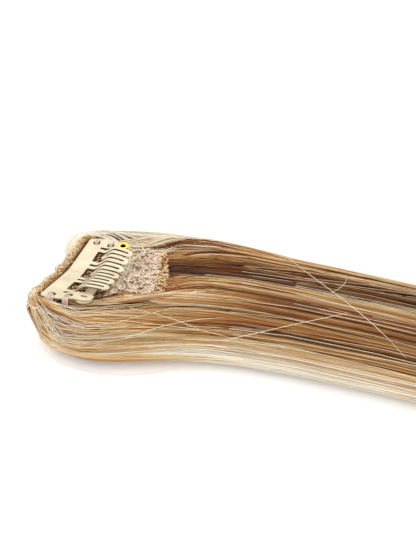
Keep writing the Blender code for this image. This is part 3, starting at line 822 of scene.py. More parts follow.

# The inner body is painted dark brown, as painted shade in the gaps between the strands; its streaks follow the hair's
# own mix.
core_finish, tree, shader = new_finish("inner hair", 0.5, Specular_IOR_Level=0.3)
flow = add(tree, "ShaderNodeCombineXYZ", {"X": attribute(tree, "across"), "Y": attribute(tree, "along")})
streaks = noise(tree, add(tree, "ShaderNodeMapping", {"Vector": flow, "Scale": (46.0, 5.0, 1.0)}), 1.0, 5.0, 0.7)
colour_by(tree, shader, streaks, ((0.3, (70, 42, 24)), (0.5, (122, 78, 42)), (0.7, (168, 118, 68))))
bump(tree, shader, streaks, 0.0003, 0.6)

root_finish, tree, shader = new_finish("hair at the roots", 0.55, Specular_IOR_Level=0.3)
fine = noise(tree, object_space(tree, (1.0, 1.0, 2.5)), 700.0, 4.0, 0.6)
colour_by(tree, shader, fine, ((0.3, (140, 104, 76)), (0.5, (196, 158, 122)), (0.7, (226, 200, 170))))
bump(tree, shader, fine, 0.0003, 0.6)
print("tones:", len(HAIR_TONES))

# %% [markdown]
# ## The inner body of the hair
#
# Under the strands lies a brown body, thinner than the bundle and most so near the tips, so that no light shows
# through. It ends before the tips, where the strands thin out. It is a loft through the measured sections, and its
# streaks follow the hair because the material reads how far along and how far round each point lies. The roll of
# hair behind the band has too tight a turn for that loft: it gets the solid's own skin, cut off behind the band and
# drawn in.

# %% Inner body
core_x = np.concatenate((np.linspace(-1.2, 30, 16), np.linspace(36, 300, 38)))
core_angles = np.arange(0, 360, 5.0)
core_rings = []
for x in core_x:
    thin = 1.0 + 2.4 * smooth(x, 120, 290)
    core_rings.append(hair_to_world(on_bundle(np.full(len(core_angles), x), core_angles, thin)))
mesh = loft_mesh("hair_core", core_rings)
for label, values in (("across", np.tile(np.cos(np.radians(core_angles)), len(core_x))),
                      ("along", np.repeat(core_x / HAIR_LENGTH, len(core_angles)))):
    store(mesh, label, values)
mesh.shade_smooth()
hair_core = show("hair_core", mesh, core_finish)
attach(hair_core, "base")
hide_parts("hair")
print("inner body:", triangles(hair_core), "triangles")

# %% Inner body of the root roll
ROLL_CUT, ROLL_SHRINK, LEAST_HEIGHT = 3.5, 0.6, 0.1
roll = bmesh.new()
roll.from_mesh(frame["nodes"]["hair"].data)
behind_band = hair_to_world((ROLL_CUT, 0.0, 0.0))
bmesh.ops.bisect_plane(roll, geom=[*roll.verts, *roll.edges, *roll.faces], plane_co=Vector(behind_band),
                       plane_no=(1.0, 0.0, 0.0), clear_outer=True)
bmesh.ops.holes_fill(roll, edges=[edge for edge in roll.edges if edge.is_boundary])
roll.normal_update()
shrunk_to = [(vertex, vertex.co - vertex.normal * ROLL_SHRINK * MM) for vertex in roll.verts]
for vertex, spot in shrunk_to:
    vertex.co = (spot.x, spot.y, max(spot.z, LEAST_HEIGHT * MM))
bmesh.ops.triangulate(roll, faces=roll.faces)
mesh = finished("hair_root_roll", roll)
mesh.shade_smooth()
root_roll = show("hair_root_roll", mesh, root_finish)
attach(root_roll, "base")
print("root roll:", triangles(root_roll), "triangles")

# %% [markdown]
# ## Where the hair is sewn in
#
# The back row runs along the band's back edge and round the lace's corners, and the front row along the lace's
# front edge. The knots, the stitches and the roots of all strands follow these two routes.

# %% The two sewn rows
LACE_BACK = -0.9
LACE_NEAR, LACE_FAR = -15.04, 17.92
ROW_GAP = 1.15
LACE_EDGES = np.array(((0.00, -0.94, 1.12), (0.30, -0.95, 1.12), (0.48, -0.76, 1.14), (0.62, -0.34, 1.15),
                       (1.00, -0.10, 1.16)))


def lace_front(y):
    return 25.4 * (1.0 - 0.14 * (y / CLIP_HALF + 0.06) ** 2)


def lace_height(x, y):
    return sheet_rise(y) - SHEET / 2 - 0.3 - 0.8 * smooth(x, BAND_WIDTH, LUG_X)


def lace_heights(x, y):
    return np.array([lace_height(px, py) for px, py in zip(x, y)])


def back_row():
    plan = [(mix(5.5, LACE_BACK, step / 3), LACE_NEAR - ROW_GAP) for step in range(3)]
    plan += arc((LACE_BACK, LACE_NEAR), ROW_GAP, 270, 180, 4)
    plan += [(LACE_BACK - ROW_GAP, y) for y in np.linspace(LACE_NEAR, LACE_FAR, 15)[1:-1]]
    plan += arc((LACE_BACK, LACE_FAR), ROW_GAP, 180, 90, 4) + [(LACE_BACK + ROW_GAP, LACE_FAR + ROW_GAP)]
    route = []
    for x, y in plan:
        under = smooth(-y, 0.72 * CLIP_HALF, -LACE_NEAR + ROW_GAP) + 0.4 * smooth(x, LACE_BACK, 5.5)
        route.append((x, y, sheet_rise(y) - 0.5 - (1.4 * under if y < 0 else 0.0)))
    return clip_to_hair(route)


def front_row():
    route = []
    for y in np.linspace(-1.6, 18.56, 15):
        x = lace_front(y) + ROW_GAP
        route.append((x, y, lace_height(x, y) - 0.15))
    return clip_to_hair(route)


def along_route(route, share):
    """The point at a share of the route's length."""
    steps = np.concatenate(((0.0,), np.cumsum(np.linalg.norm(np.diff(route, axis=0), axis=1))))
    return np.stack([np.interp(np.asarray(share) * steps[-1], steps, route[:, axis]) for axis in range(3)], -1)


back_route, front_route = back_row(), front_row()
print("back row from", back_route[0].round(1), "to", back_route[-1].round(1))

# %% [markdown]
# ## The strand tree
#
# A strand is drawn only as a guide, a line of at most some thirty points. The tree turns each guide into several
# strands: it copies the line, moves each copy sideways by its own random amount, lets it wander, cuts it to its own
# length, thins it towards the tip, and gives it a three sided section, which is enough for a line this fine.

# %% Strand tree
tree, given, result = new_tree("strands from guides", {
    "Strands": "Int", "Spread": "Float", "Wander": "Float", "Wander scale": "Float", "Thickness": "Float",
    "Shortest": "Float", "Tone spread": "Float", "Seed": "Int", "Material": "Material"})
strand_tree = tree
lines = add(tree, "GeometryNodeMeshToCurve", {"Mesh": given["Geometry"]})
copies = add(tree, "GeometryNodeDuplicateElements", {"Geometry": lines, "Amount": given["Strands"]}, domain="SPLINE")
index = add(tree, "GeometryNodeInputIndex")
own_length = per_curve(tree, throw(tree, given["Shortest"], 1.0, given["Seed"], ID=index), "FLOAT")
cut_lines = add(tree, "GeometryNodeTrimCurve", {"Curve": copies, "End": own_length}, mode="FACTOR")
own = per_curve(tree, throw(tree, (-1.0, -1.0, -1.0), (1.0, 1.0, 1.0), given["Seed"], ID=index), "FLOAT_VECTOR")
factor = add(tree, "GeometryNodeSplineParameter", out="Factor")
local = named(tree, "spread")
aside = scaled(tree, own, calc(tree, local, "MULTIPLY", given["Spread"]))
here = add(tree, "GeometryNodeInputPosition")
looked_up = add(tree, "ShaderNodeVectorMath", {0: here, 1: scaled(tree, own, 0.7)}, operation="ADD")
cloud = add(tree, "ShaderNodeTexNoise", {"Vector": looked_up, "Scale": given["Wander scale"], "Detail": 1.0},
            out="Color")
centred = add(tree, "ShaderNodeVectorMath", {0: cloud, 1: (0.5, 0.5, 0.5)}, operation="SUBTRACT")
loose = add(tree, "ShaderNodeMapRange", {"Value": factor, "From Max": 0.12}, clamp=True)
waved = scaled(tree, centred, calc(tree, loose, "MULTIPLY", given["Wander"]))
moved_by = add(tree, "ShaderNodeVectorMath", {0: aside, 1: waved}, operation="ADD")
drifted = add(tree, "GeometryNodeSetPosition", {"Geometry": cut_lines, "Offset": moved_by})
parts = {axis: add(tree, "ShaderNodeSeparateXYZ", {"Vector": here}, out=axis) for axis in "XYZ"}
above = calc(tree, parts["Z"], "MAXIMUM", LEAST_HEIGHT * MM)
kept_up = add(tree, "ShaderNodeCombineXYZ", {"X": parts["X"], "Y": parts["Y"], "Z": above})
moved = add(tree, "GeometryNodeSetPosition", {"Geometry": drifted, "Position": kept_up})
own_x = add(tree, "ShaderNodeSeparateXYZ", {"Vector": own}, out="X")
tone_sum = calc(tree, named(tree, "tone"), "ADD", calc(tree, own_x, "MULTIPLY", given["Tone spread"]))
toned_lines = give_tone(tree, moved, tone_sum, "POINT")
taper = add(tree, "ShaderNodeMapRange", {"Value": factor, "From Min": 0.8, "From Max": 1.0, "To Min": 1.0,
                                         "To Max": 0.3}, clamp=True)
section = add(tree, "GeometryNodeCurvePrimitiveCircle", {
    "Resolution": 3, "Radius": calc(tree, given["Thickness"], "MULTIPLY", 0.5)})
tubes = add(tree, "GeometryNodeCurveToMesh", {"Curve": toned_lines, "Profile Curve": section, "Scale": taper,
                                              "Fill Caps": True})
end_tree(tree, given, result, tubes)


def strands(name, guides, finish, **sizes):
    """Strands from guides, each of which is (points in the hair's space, tone, spread at each point)."""
    spots = np.concatenate([guide[0] for guide in guides])
    counts = [len(guide[0]) for guide in guides]
    starts = np.concatenate(((0,), np.cumsum(counts)[:-1]))
    lines = [(start + step, start + step + 1) for start, count in zip(starts, counts) for step in range(count - 1)]
    mesh = bpy.data.meshes.new(name)
    mesh.from_pydata(hair_to_world(spots), lines, [])
    for label, part in (("tone", 1), ("spread", 2)):
        store(mesh, label, np.concatenate([np.broadcast_to(guide[part], len(guide[0])) for guide in guides]))
    values = {"Strands": 1, "Spread": 0.0005, "Wander": 0.0004, "Wander scale": 40.0, "Thickness": 0.00014,
              "Shortest": 1.0, "Tone spread": 0.12, "Seed": 1, "Material": finish}
    values.update({key.replace("_", " "): value for key, value in sizes.items()})
    piece = show(name, run_tree(strand_tree, show(name + "_guides", mesh), values))
    print(name, len(guides) * values["Strands"], "strands,", triangles(piece), "triangles")
    return piece


# %% [markdown]
# ## Thread finishes
#
# The lace is pinkish beige cotton, its knots are bundles of golden and brown hair, and the sewing thread is pale
# pink. All three read the same tone number as the hair does, each in a ramp of its own.

# %% Thread finishes


def thread_finish(name, stops, roughness):
    made, tree, shader = new_finish(name, roughness, Specular_IOR_Level=0.25)
    fuzz = noise(tree, object_space(tree), 1900.0, 3.0, 0.6)
    toned = calc(tree, attribute(tree, "tone"), "ADD", fuzz)
    colour_by(tree, shader, toned, [((place + 0.5) / 2, tint) for place, tint in stops])
    bump(tree, shader, fuzz, 0.0001, 0.5)
    return made


net_finish = thread_finish("pinkish net", ((-0.5, (84, 60, 44)), (0.0, (210, 160, 122)), (0.5, (240, 206, 170)),
                                              (1.0, (255, 240, 218))), 0.85)
knot_finish = thread_finish("knotted hair", ((-0.4, (70, 40, 24)), (0.0, (128, 78, 44)), (0.4, (200, 142, 84)),
                                               (0.75, (230, 184, 124)), (1.0, (244, 216, 172))), 0.6)
sewing_finish = thread_finish("sewing thread", ((0.0, (186, 120, 100)), (0.5, (222, 178, 158)),
                                                (1.0, (244, 222, 208))), 0.7)
print("threads:", net_finish.name, knot_finish.name, sewing_finish.name)

# %% [markdown]
# ## The lace
#
# The base is a small net. A grid of triangles has a dual mesh of six sided cells, and each cell, drawn in on
# itself and deleted, leaves a mesh hole with a rib all round. The flat net is then laid in the shape of the panel,
# pressed to the clip's curve, and given the thickness of thread.

# %% Net
LACE_DEPTH, LACE_WIDTH = 26.3, 33.0
NET_PITCH = 1.0
NET_HOLE = 0.6
LACE_THICK = 0.16

tree, given, result = new_tree("lace net", {"Columns": "Int", "Rows": "Int", "Hole": "Float", "Uneven": "Float",
                                            "Seed": "Int", "Material": "Material"})
grid = add(tree, "GeometryNodeMeshGrid", {"Size X": 1.0, "Size Y": 1.0, "Vertices X": given["Columns"],
                                          "Vertices Y": given["Rows"]}, out="Mesh")
push = scaled(tree, throw(tree, (-1.0, -1.0, 0.0), (1.0, 1.0, 0.0), given["Seed"]), given["Uneven"])
uneven = add(tree, "GeometryNodeSetPosition", {"Geometry": grid, "Offset": push})
cells = add(tree, "GeometryNodeDualMesh", {"Mesh": add(tree, "GeometryNodeTriangulate", {"Mesh": uneven})})
raised = tree.nodes.new("GeometryNodeExtrudeMesh")
tree.links.new(cells, raised.inputs["Mesh"])
raised.inputs["Offset Scale"].default_value = 0.0
shrunk = add(tree, "GeometryNodeScaleElements", {
    "Geometry": raised.outputs["Mesh"], "Selection": raised.outputs["Top"], "Scale": given["Hole"]})
opened = add(tree, "GeometryNodeDeleteGeometry", {"Geometry": shrunk, "Selection": raised.outputs["Top"]},
             domain="FACE")
end_tree(tree, given, result, opened, smooth_faces=False)


def lace_spot(along, across):
    """A place on the panel in the clip's plane. along runs from the back row to the front one."""
    near, far = (np.interp(along, LACE_EDGES[:, 0], LACE_EDGES[:, side]) * CLIP_HALF for side in (1, 2))
    y = mix(near, far, across)
    return mix(LACE_BACK, lace_front(y), along), y


def lay_lace(along, across, above):
    x, y = (np.atleast_1d(value) for value in lace_spot(along, across))
    return clip_to_hair(np.stack((x, y, lace_heights(x, y) + above), -1))


deep, wide = round(LACE_DEPTH / NET_PITCH), round(LACE_WIDTH / NET_PITCH)
sheet_mesh = run_tree(tree, show("lace_blank", bpy.data.meshes.new("lace_blank")), {
    "Columns": deep, "Rows": wide, "Hole": NET_HOLE, "Uneven": 0.3 / deep, "Seed": 5, "Material": net_finish})
flat = spots_of(sheet_mesh)
ripple = 0.12 * np.sin(flat[:, 0] * 41 + 9 * flat[:, 1]) * np.cos(flat[:, 1] * 37)
along = flat[:, 0] + 0.5
laid = lay_lace(np.clip(along, 0, 1), np.clip(flat[:, 1] + 0.5, 0, 1), ripple - 0.1)
move_to(sheet_mesh, hair_to_world(laid))
# The net is painted darker under the band and the teeth, as painted shade under the clip, and paler in a band just past
# the tooth tips.
shaded = 1 - smooth(along, 0.52, 0.6) - 0.8 * smooth(along, 0.56, 0.64) * (1 - smooth(along, 0.7, 0.8))
thread_tones = np.random.default_rng(3).normal(0.35, 0.25, len(flat)).astype(np.float32)
store(sheet_mesh, "tone", thread_tones - 0.8 * shaded)
lace = show("lace_net", sheet_mesh)
wall = lace.modifiers.new("thread thickness", "SOLIDIFY")
wall.thickness = LACE_THICK * MM
wall.offset = 0.0
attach(lace, "base")
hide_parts("lace_base")
print("net:", triangles(lace), "triangles before its thickness")

# %% [markdown]
# ## Tangled threads
#
# Over the net lies a fuzz of cut threads and short hairs that the knotting leaves. Each is a short curl, drawn
# with a random heading that keeps turning, and thickened by the strand tree.

# %% Fuzz on the lace
BESIDE_ROW, ON_LACE, AT_CORNER, ALL_CURLS = 370, 400, 440, 520
fuzz_rng = np.random.default_rng(17)
curls = []
for number in range(ALL_CURLS):
    if number < ON_LACE:
        along = 1 - 0.32 * fuzz_rng.uniform(0, 1) ** 1.2 if number < BESIDE_ROW else fuzz_rng.uniform(0.5, 0.75)
        spot = lay_lace(along, fuzz_rng.uniform(0.02, 0.98), fuzz_rng.uniform(0.05, 0.6))[0]
    else:
        share = fuzz_rng.uniform(0.05, 0.24) if number < AT_CORNER else fuzz_rng.uniform(0.2, 0.95)
        spot = along_route(back_route, share) + (fuzz_rng.uniform(-0.8, 0.1), fuzz_rng.normal(0, 0.4), 0.1)
    heading, turn = fuzz_rng.uniform(0, 2 * math.pi), fuzz_rng.normal(0, 0.55)
    if number >= AT_CORNER:
        heading, turn = fuzz_rng.choice((0.56, -0.56)) * math.pi + fuzz_rng.normal(0, 0.3), 0.0
    path = [spot]
    for _ in range(6 if number < AT_CORNER else 4):
        heading += turn + fuzz_rng.normal(0, 0.25)
        path.append(path[-1] + np.array((math.cos(heading), math.sin(heading), fuzz_rng.normal(0, 0.24))) * 0.6)
    shades = (0.5, 0.9, 1.2) if number < AT_CORNER else (0.2, 0.5, 0.8)
    if number < ON_LACE:
        shades = (-0.3, 0.55, 1.0, 1.2)
    curls.append((np.array(path), fuzz_rng.choice(shades), 0.3))
lace_fuzz = strands("lace_fuzz", curls, net_finish, Strands=2, Spread=0.0005, Wander=0.0008, Wander_scale=500.0,
                    Thickness=0.00028, Tone_spread=0.1, Seed=21)
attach(lace_fuzz, "base")

# %% [markdown]
# ## Knots
#
# Hair is knotted to both rows in small loops. One low ring is enough for a knot: the tree spreads points along the
# row, throws each a little to the side, and sets a ring on it, turned and scaled at random.

# %% Knots on both rows
tree, given, result = new_tree("knots along a row", {"Knots": "Int", "Width": "Float", "Size": "Float", "Seed": "Int",
                                                     "Material": "Material"})
row_curve = add(tree, "GeometryNodeMeshToCurve", {"Mesh": given["Geometry"]})
spots = add(tree, "GeometryNodeCurveToPoints", {"Curve": row_curve, "Count": given["Knots"]}, out="Points")
push = scaled(tree, throw(tree, (-1.0, -1.0, -0.6), (1.0, 1.0, 1.0), given["Seed"]), given["Width"])
thrown = add(tree, "GeometryNodeSetPosition", {"Geometry": spots, "Offset": push})
loop = add(tree, "GeometryNodeCurveToMesh", {
    "Curve": add(tree, "GeometryNodeCurvePrimitiveCircle", {"Resolution": 7, "Radius": 0.5}),
    "Profile Curve": add(tree, "GeometryNodeCurvePrimitiveCircle", {"Resolution": 4, "Radius": 0.24})})
turns = throw(tree, (-1.1, -1.1, 0.0), (1.1, 1.1, 6.28), 3)
ring_sizes = calc(tree, throw(tree, 0.65, 1.25, 4), "MULTIPLY", given["Size"])
rings = add(tree, "GeometryNodeInstanceOnPoints", {"Points": thrown, "Instance": loop, "Rotation": turns,
                                                   "Scale": ring_sizes})
end_tree(tree, given, result, give_tone(tree, rings, throw(tree, -0.3, 1.1, 9), "INSTANCE"))
back_knots = back_route.copy()
back_knots[:, 0] += 1.1 * smooth(-back_knots[:, 1], 9, 15)
for name, route, count, width, ring_size, seed in (
        ("knots_back", back_knots, 400, 0.6, 0.55, 31), ("knots_front", front_route, 380, 1.3, 0.6, 32)):
    line = bpy.data.meshes.new(name)
    line.from_pydata(hair_to_world(route + (0, 0, 0.4)), [(i, i + 1) for i in range(len(route) - 1)], [])
    piece = show(name, run_tree(tree, show(name + "_row", line), {
        "Knots": count, "Width": width * MM, "Size": ring_size * MM, "Seed": seed, "Material": knot_finish}))
    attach(piece, "base")
    print(name, triangles(piece), "triangles")
for node in ("weft_back", "weft_front"):
    frame["nodes"][node].data.materials.clear()
    frame["nodes"][node].data.materials.append(knot_finish)

# %% [markdown]
# ## Stitches
#
# The clip is sewn on by hand through the holes at its ends: pink thread comes up through a hole, passes over the
# arm's edge and goes down into the lace. Each stitch is a guide over the sheet, drawn in the clip's flat space.

# %% Stitches
STITCH_SIDE = ((-0.25, -0.9), (-0.05, 0.1), (0.2, 0.42), (0.5, 0.45), (0.8, 0.42), (1.0, 0.1), (1.12, -0.7),
               (1.2, -1.5))
stitch_rng = np.random.default_rng(8)
stitches = []
for hole_x, hole_y, edge, raised, bunch in (
        (SEWING_HOLE[0], -SEWING_HOLE[1], -16.5, 0.35, 5), (SEWING_HOLE[0], SEWING_HOLE[1], 16.9, 0.1, 3),
        (CORNER_HOLE[0], -CORNER_HOLE[1], -16.5, 0.0, 6), (CORNER_HOLE[0], CORNER_HOLE[1], 16.5, 0.0, 3)):
    way = math.copysign(1.0, edge)
    for _ in range(bunch):
        lean_x, start_x = stitch_rng.normal(0, 0.5), stitch_rng.uniform(-0.5, 0.5)
        flat = []
        for share, above in STITCH_SIDE:
            y = mix(hole_y + 0.25 * way, edge, share)
            flat.append((hole_x + start_x + lean_x * share, y, sheet_rise(y) + raised + above))
        stitches.append((clip_to_hair(flat), stitch_rng.uniform(0.2, 0.9), 1.0))
stitch_piece = strands("stitches", stitches, sewing_finish, Strands=3, Spread=0.00022, Wander=0.0002,
                       Wander_scale=400.0, Thickness=0.0002, Seed=33)
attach(stitch_piece, "base")

# %% [markdown]
# ## Guides
#
# Hair from the back row does not run straight off: it loops out behind the band and turns. Near the near corner it
# fans out and sweeps round the near side, from the middle it turns under the clip, and at the far end it swings
# round the far side. Hair from the front row runs straight over the top. Each family is a curve from its root
# to a place on the measured tube, and from there on it follows the tube.

# %% Guide helpers
rng = np.random.default_rng(41)
BODY = np.array((28, 37, 48, 62, 82, 108, 144, 190, 245, 300, 326, 349), float)
SPARSE = np.array((28, 44, 60, 81, 106, 136, 174, 220, 272, 320, 351), float)
FAN_END = 44.0
NEAR_FAN, FROM_LACE, BEYOND_LACE, CORNER_LOOPS = 290, 100, 70, 90
UNDER_LOOPS, FAR_SWEEP, TOP_RUNS = 195, 180, 260


def bezier(p0, p1, p2, p3, steps):
    t = np.linspace(0, 1, steps, endpoint=False)[:, None]
    return (1 - t) ** 3 * p0 + 3 * t * (1 - t) ** 2 * p1 + 3 * t * t * (1 - t) * p2 + t ** 3 * p3


def lead(root, out, place, back, steps, *rest):
    """A curve that leaves a root, comes in at a place on the tube, and goes on through the rest."""
    return np.concatenate((bezier(root, root + out, place - back, place, steps), place[None], *rest))


def tone_at(angle):
    """The tone of the lock that runs at this angle, from the near edge to the far one."""
    turn = math.radians(angle)
    side = math.cos(turn) if math.sin(turn) > 0 or math.cos(turn) > 0 else -2 - math.cos(turn)
    sides = (-1.2, -1.0, -0.95, -0.86, -0.74, -0.60, -0.44, -0.32, -0.18, -0.08, 0.04, 0.18, 0.28, 0.38, 0.50, 0.60,
             0.74, 0.84, 0.92, 1.0)
    tones = (0.92, 0.90, 0.70, 0.44, 0.34, 0.38, 0.22, 0.26, 0.26, 0.42, 0.60, 0.50, 0.18, 0.10, 0.16, 0.50, 0.60,
             0.36, 0.24, 0.5)
    return float(np.interp(side, sides, tones))


def own_tone(base, wide=0.08):
    """The lock's tone with the guide's own part in it: one guide in eight is dark, one in eight pale."""
    return base + rng.normal(0, wide) + rng.choice((-0.3, 0.22, 0.0), p=(0.14, 0.12, 0.74))


def beside_clip(points):
    """Lifts what runs close by the clip or the lace to just over the lace's level."""
    x, y, z = points.T
    level = lace_heights(x, y) - 0.2
    level += PAST_END_SLOPE * np.maximum(np.abs(y) - CLIP_HALF, 0.0)
    raised = clip_to_hair(np.stack((x, y, level), -1))[:, 2]
    weight = (1 - smooth(x, 24, 42)) * (1 - smooth(np.abs(y - 1.0), 20.0, 25.0)) * smooth(z, 5.0, 7.5)
    lifted = points.copy()
    lifted[:, 2] = mix(z, np.maximum(z, raised), weight)
    return lifted


def round_roll(points):
    """Brings what has sunk into the solid root roll out to its surface, evenly."""
    draped = points.copy()
    for turn in range(2):
        for index in range(1, len(draped)):
            if draped[index, 0] < 7.0:
                spot, normal, _, _ = solid_hair.find_nearest(Vector(draped[index]))
                if (Vector(draped[index]) - spot).dot(normal) < 0.15:
                    draped[index] = spot + 0.15 * normal
        if turn == 0:
            draped[1:-1] = (draped[:-2] + 2 * draped[1:-1] + draped[2:]) / 4
    return draped


def swell(points):
    """Fills out the far side beside the clip."""
    x, y, z = points.T
    more = 1.6 * smooth(x, -6, 6) * (1 - smooth(x, 26, 66)) * smooth(y, 19, 24) * smooth(z, 2.0, 7.0)
    return points + more[:, None] * (0.0, 0.25, 1.0)


def body_run(x_from, angle, depth, drift, stations=BODY):
    x = stations[stations > x_from + 3]
    turning = angle + drift * smooth(x, x_from, 330) + 1.6 * np.sin(x / 31 + angle)
    return on_bundle(x, turning, depth)


def body_spread(points):
    x = points[:, 0]
    return mix(0.45, 1.0, smooth(x, 0, 60)) + 0.7 * smooth(x, 200, HAIR_LENGTH)


# %% Near fan
FAN_TOP = np.array(((-2, -17.4), (4, -17.5), (10, -17.6), (16, -16.4), (22, -14.6), (30, -12.2), (44, -9.6)))
FAN_X = np.array((-1, 1, 3, 5, 8, 11, 14, 18, 22, 27, 33, 38, 44), float)


def angle_at(x, y):
    """The angle round the top at which the tube lies at y."""
    share = (y - np.interp(x, STATIONS, middle_y)) / np.interp(x, STATIONS, half_wide)
    return np.degrees(np.arccos(np.clip(share, -0.97, 0.97)))


def fan_angle(x, a):
    """a is 0 for the strand beside the clip and the lace and 1 for the one along the table."""
    top = angle_at(x, np.interp(x, FAN_TOP[:, 0], FAN_TOP[:, 1]))
    return mix(top, 214 - 6 * smooth(x, 0, 40), a)


near_fan = []
for a in np.sort(rng.uniform(0, 1.3, NEAR_FAN)):
    root = along_route(back_route, mix(0.08, 0.19, a ** 0.6) + rng.uniform(0, 0.01)) + rng.normal(0, 0.3, 3)
    depth = rng.uniform(0.0, 0.9)
    x1 = max(mix(root[0] + 5.5, -0.8, a ** 0.7), -2.0) + rng.uniform(0, 1.5)
    x = FAN_X[FAN_X > x1 + 1.5]
    share = a + 0.03 * np.sin(x / 9 + 20 * a)
    flow = on_bundle(x, fan_angle(x, share), depth)
    p3 = on_bundle(x1, fan_angle(x1, a), depth)
    ahead = on_bundle(x1 + 2, fan_angle(x1 + 2, a), depth) - p3
    ahead *= mix(3.0, 4.5, a) / np.linalg.norm(ahead)
    leave = mix(np.array((3.5, -0.9, 0.1)), np.array((-1.6, -2.2, -0.9)), a ** 0.8)
    angle = fan_angle(FAN_END, a)
    path = round_roll(beside_clip(lead(root, leave, p3, ahead, 7, flow,
                                       body_run(FAN_END, angle, depth, rng.normal(0, 4)))))
    at_root = 1 - smooth(path[:, 0], 22, 50)
    # The lower side of the near fan by the root is painted darker: painted shade on its shadow side.
    painted_shadow_side = (0.2 * smooth(a, 0.4, 0.9) + 0.16 * smooth(a, 0.7, 1.0)) * smooth(path[:, 0], 0, 12)
    tone = np.minimum(own_tone(tone_at(angle)), 0.9) - at_root * painted_shadow_side
    tone = mix(tone, own_tone(0.64), 0.85 * at_root * (1 - smooth(a, 0.14, 0.36)))
    tone = tone + 0.14 * (1 - at_root) * smooth(a, 0.5, 0.75)
    near_fan.append((path, tone, body_spread(path)))
print("near fan:", len(near_fan), "guides")

# %% Hair that comes out from under the lace's near edge
from_lace = []
for t in np.sort(rng.uniform(0, 1, FROM_LACE)) ** 1.3:
    along = mix(0.36, 1.0, t)
    x, y = lace_spot(along, 0.0)
    y = np.interp(x, (8, 12, 16, 20, 26), (-15.6, -14.4, -10.5, -6.5, -2.4)) + rng.normal(0, 0.3)
    root = clip_to_hair((x - 2.0, y + 1.2, lace_height(x, y) - 0.5))
    x1 = x + rng.uniform(13, 17)
    angle = mix(112, 99, t) + rng.uniform(0, 9) * (1 - t)
    depth = rng.uniform(0.0, 0.8)
    p3 = on_bundle(x1, angle, depth)
    ahead = on_bundle(x1 + 6, angle, depth) - p3
    path = beside_clip(lead(root, (4.5, -rng.uniform(0.4, 3.4), 0.4), p3, 0.7 * ahead, 6,
                            body_run(x1, angle, depth, rng.normal(0, 4))))
    tone = own_tone(tone_at(angle)) + 0.38 * (1 - smooth(path[:, 0], 30, 62))
    from_lace.append((path, tone, body_spread(path)))
for t in rng.uniform(0, 1, BEYOND_LACE):
    x = mix(1.0, 25.0, t)
    root = clip_to_hair((x - 1.5, 16.8, lace_height(x, 16.8) - 0.3))
    x1 = x + rng.uniform(11, 16)
    # Some strands from the lace's far edge are painted dark brown by the root: a painted shadow line along that edge.
    shaded = t > 0.35 and rng.uniform(0, 1) < 0.4
    angle = mix(float(angle_at(x1, 18.4)), 46.0, float(smooth(x1, 12, 40))) - (0.0 if shaded else rng.uniform(0, 6))
    depth = rng.uniform(0.0, 0.8)
    p3 = on_bundle(x1, angle, depth)
    out = rng.uniform(0.2, 0.7) if shaded else rng.uniform(1.0, 2.6)
    path = swell(beside_clip(lead(root, (3.0, out, 0.6), p3, (5.0, 0.2, -0.2), 6,
                                  body_run(x1, angle, depth, rng.normal(0, 3)))))
    tone = mix(0.2 if shaded else 0.84, own_tone(tone_at(angle)), smooth(path[:, 0], 26, 75))
    from_lace.append((path, tone, body_spread(path)))
print("from under the lace:", len(from_lace), "guides")

# %% Loops round the near corner
corner_loops = []
for q in rng.uniform(0, 1, CORNER_LOOPS):
    root = along_route(back_route, mix(0.21, 0.18, q)) + rng.normal(0, 0.3, 3)
    x1 = mix(6.0, 0.4, q) + rng.uniform(0, 1.5)
    start_angle, end_angle = mix(246, 197, q), mix(236, 206, q)
    depth = rng.uniform(0.0, 0.8)
    p3 = on_bundle(x1, start_angle, depth)
    p1 = root + (-1.3 - rng.uniform(0, 0.9), -1.5 - 1.3 * q, -0.3)
    p2 = p3 + (-mix(7.0, 3.0, q), 1.0, mix(1.0, 3.0, q))
    x = FAN_X[FAN_X > x1 + 2]
    flow = on_bundle(x, mix(start_angle, end_angle, smooth(x, x1, 30)), depth)
    path = round_roll(np.concatenate((bezier(root, p1, p2, p3, 9), p3[None], flow,
                                      body_run(FAN_END, end_angle, depth, 0.0, SPARSE))))
    tone = own_tone(0.6) + 0.16 * (1 - smooth(path[:, 0], -1, 8)) + 0.32 * smooth(path[:, 0], 34, 64)
    corner_loops.append((path, tone, body_spread(path)))
print("round the near corner:", len(corner_loops), "guides")

# %% Loops that turn under the clip
under_loops = []
for y in rng.uniform(-15.5, 30.0, UNDER_LOOPS):
    share = 0.19 + 0.74 * (min(y, 17.5) + 15.04) / 32.96
    root = along_route(back_route, share) + rng.normal(0, 0.2, 3) + rng.choice((0.0, 1.0)) * np.array((0.8, 0.0, 0.8))
    out = rng.uniform(0, 1)
    swing = -4.5 * smooth(-y, 4, 16)
    at_near_end = float(smooth(-y, 8, 15))
    stand = mix(1.0, 0.72, at_near_end)
    aside = y - root[1]
    p1 = root + (-(2.4 + 2.4 * out) * stand, 0.3 * (swing + aside), 0.4 + 0.8 * out - 1.6 * at_near_end)
    p2 = np.array((-(4.0 + 2.2 * out) * stand, y + swing, 1.6 + 1.6 * (1 - out)))
    p3 = np.array((8.0, y + 1.2 * swing, 0.7 + rng.uniform(0, 1.5)))
    side = np.clip((p3[1] - 1.0) / 26.0, -0.95, 0.95)
    angle = 360 - math.degrees(math.acos(side))
    tail = on_bundle(np.array((20.0,)), angle, 0.5)
    start = bezier(root, p1, p2, p3, 10)
    for index in range(1, 8):
        met = shoot((-30.0, start[index, 1], start[index, 2]), (1.0, 0.0, 0.0))
        if met:
            start[index, 0] = min(start[index, 0], met.x - 0.2 - 0.5 * out)
    path = round_roll(np.concatenate((start, p3[None], tail, body_run(20, angle, 0.5, 0.0, SPARSE))))
    path[:, 2] = np.maximum(path[:, 2], 0.15)
    under_loops.append((path, rng.uniform(0.6, 0.96), body_spread(path)))
print("under loops:", len(under_loops), "guides")

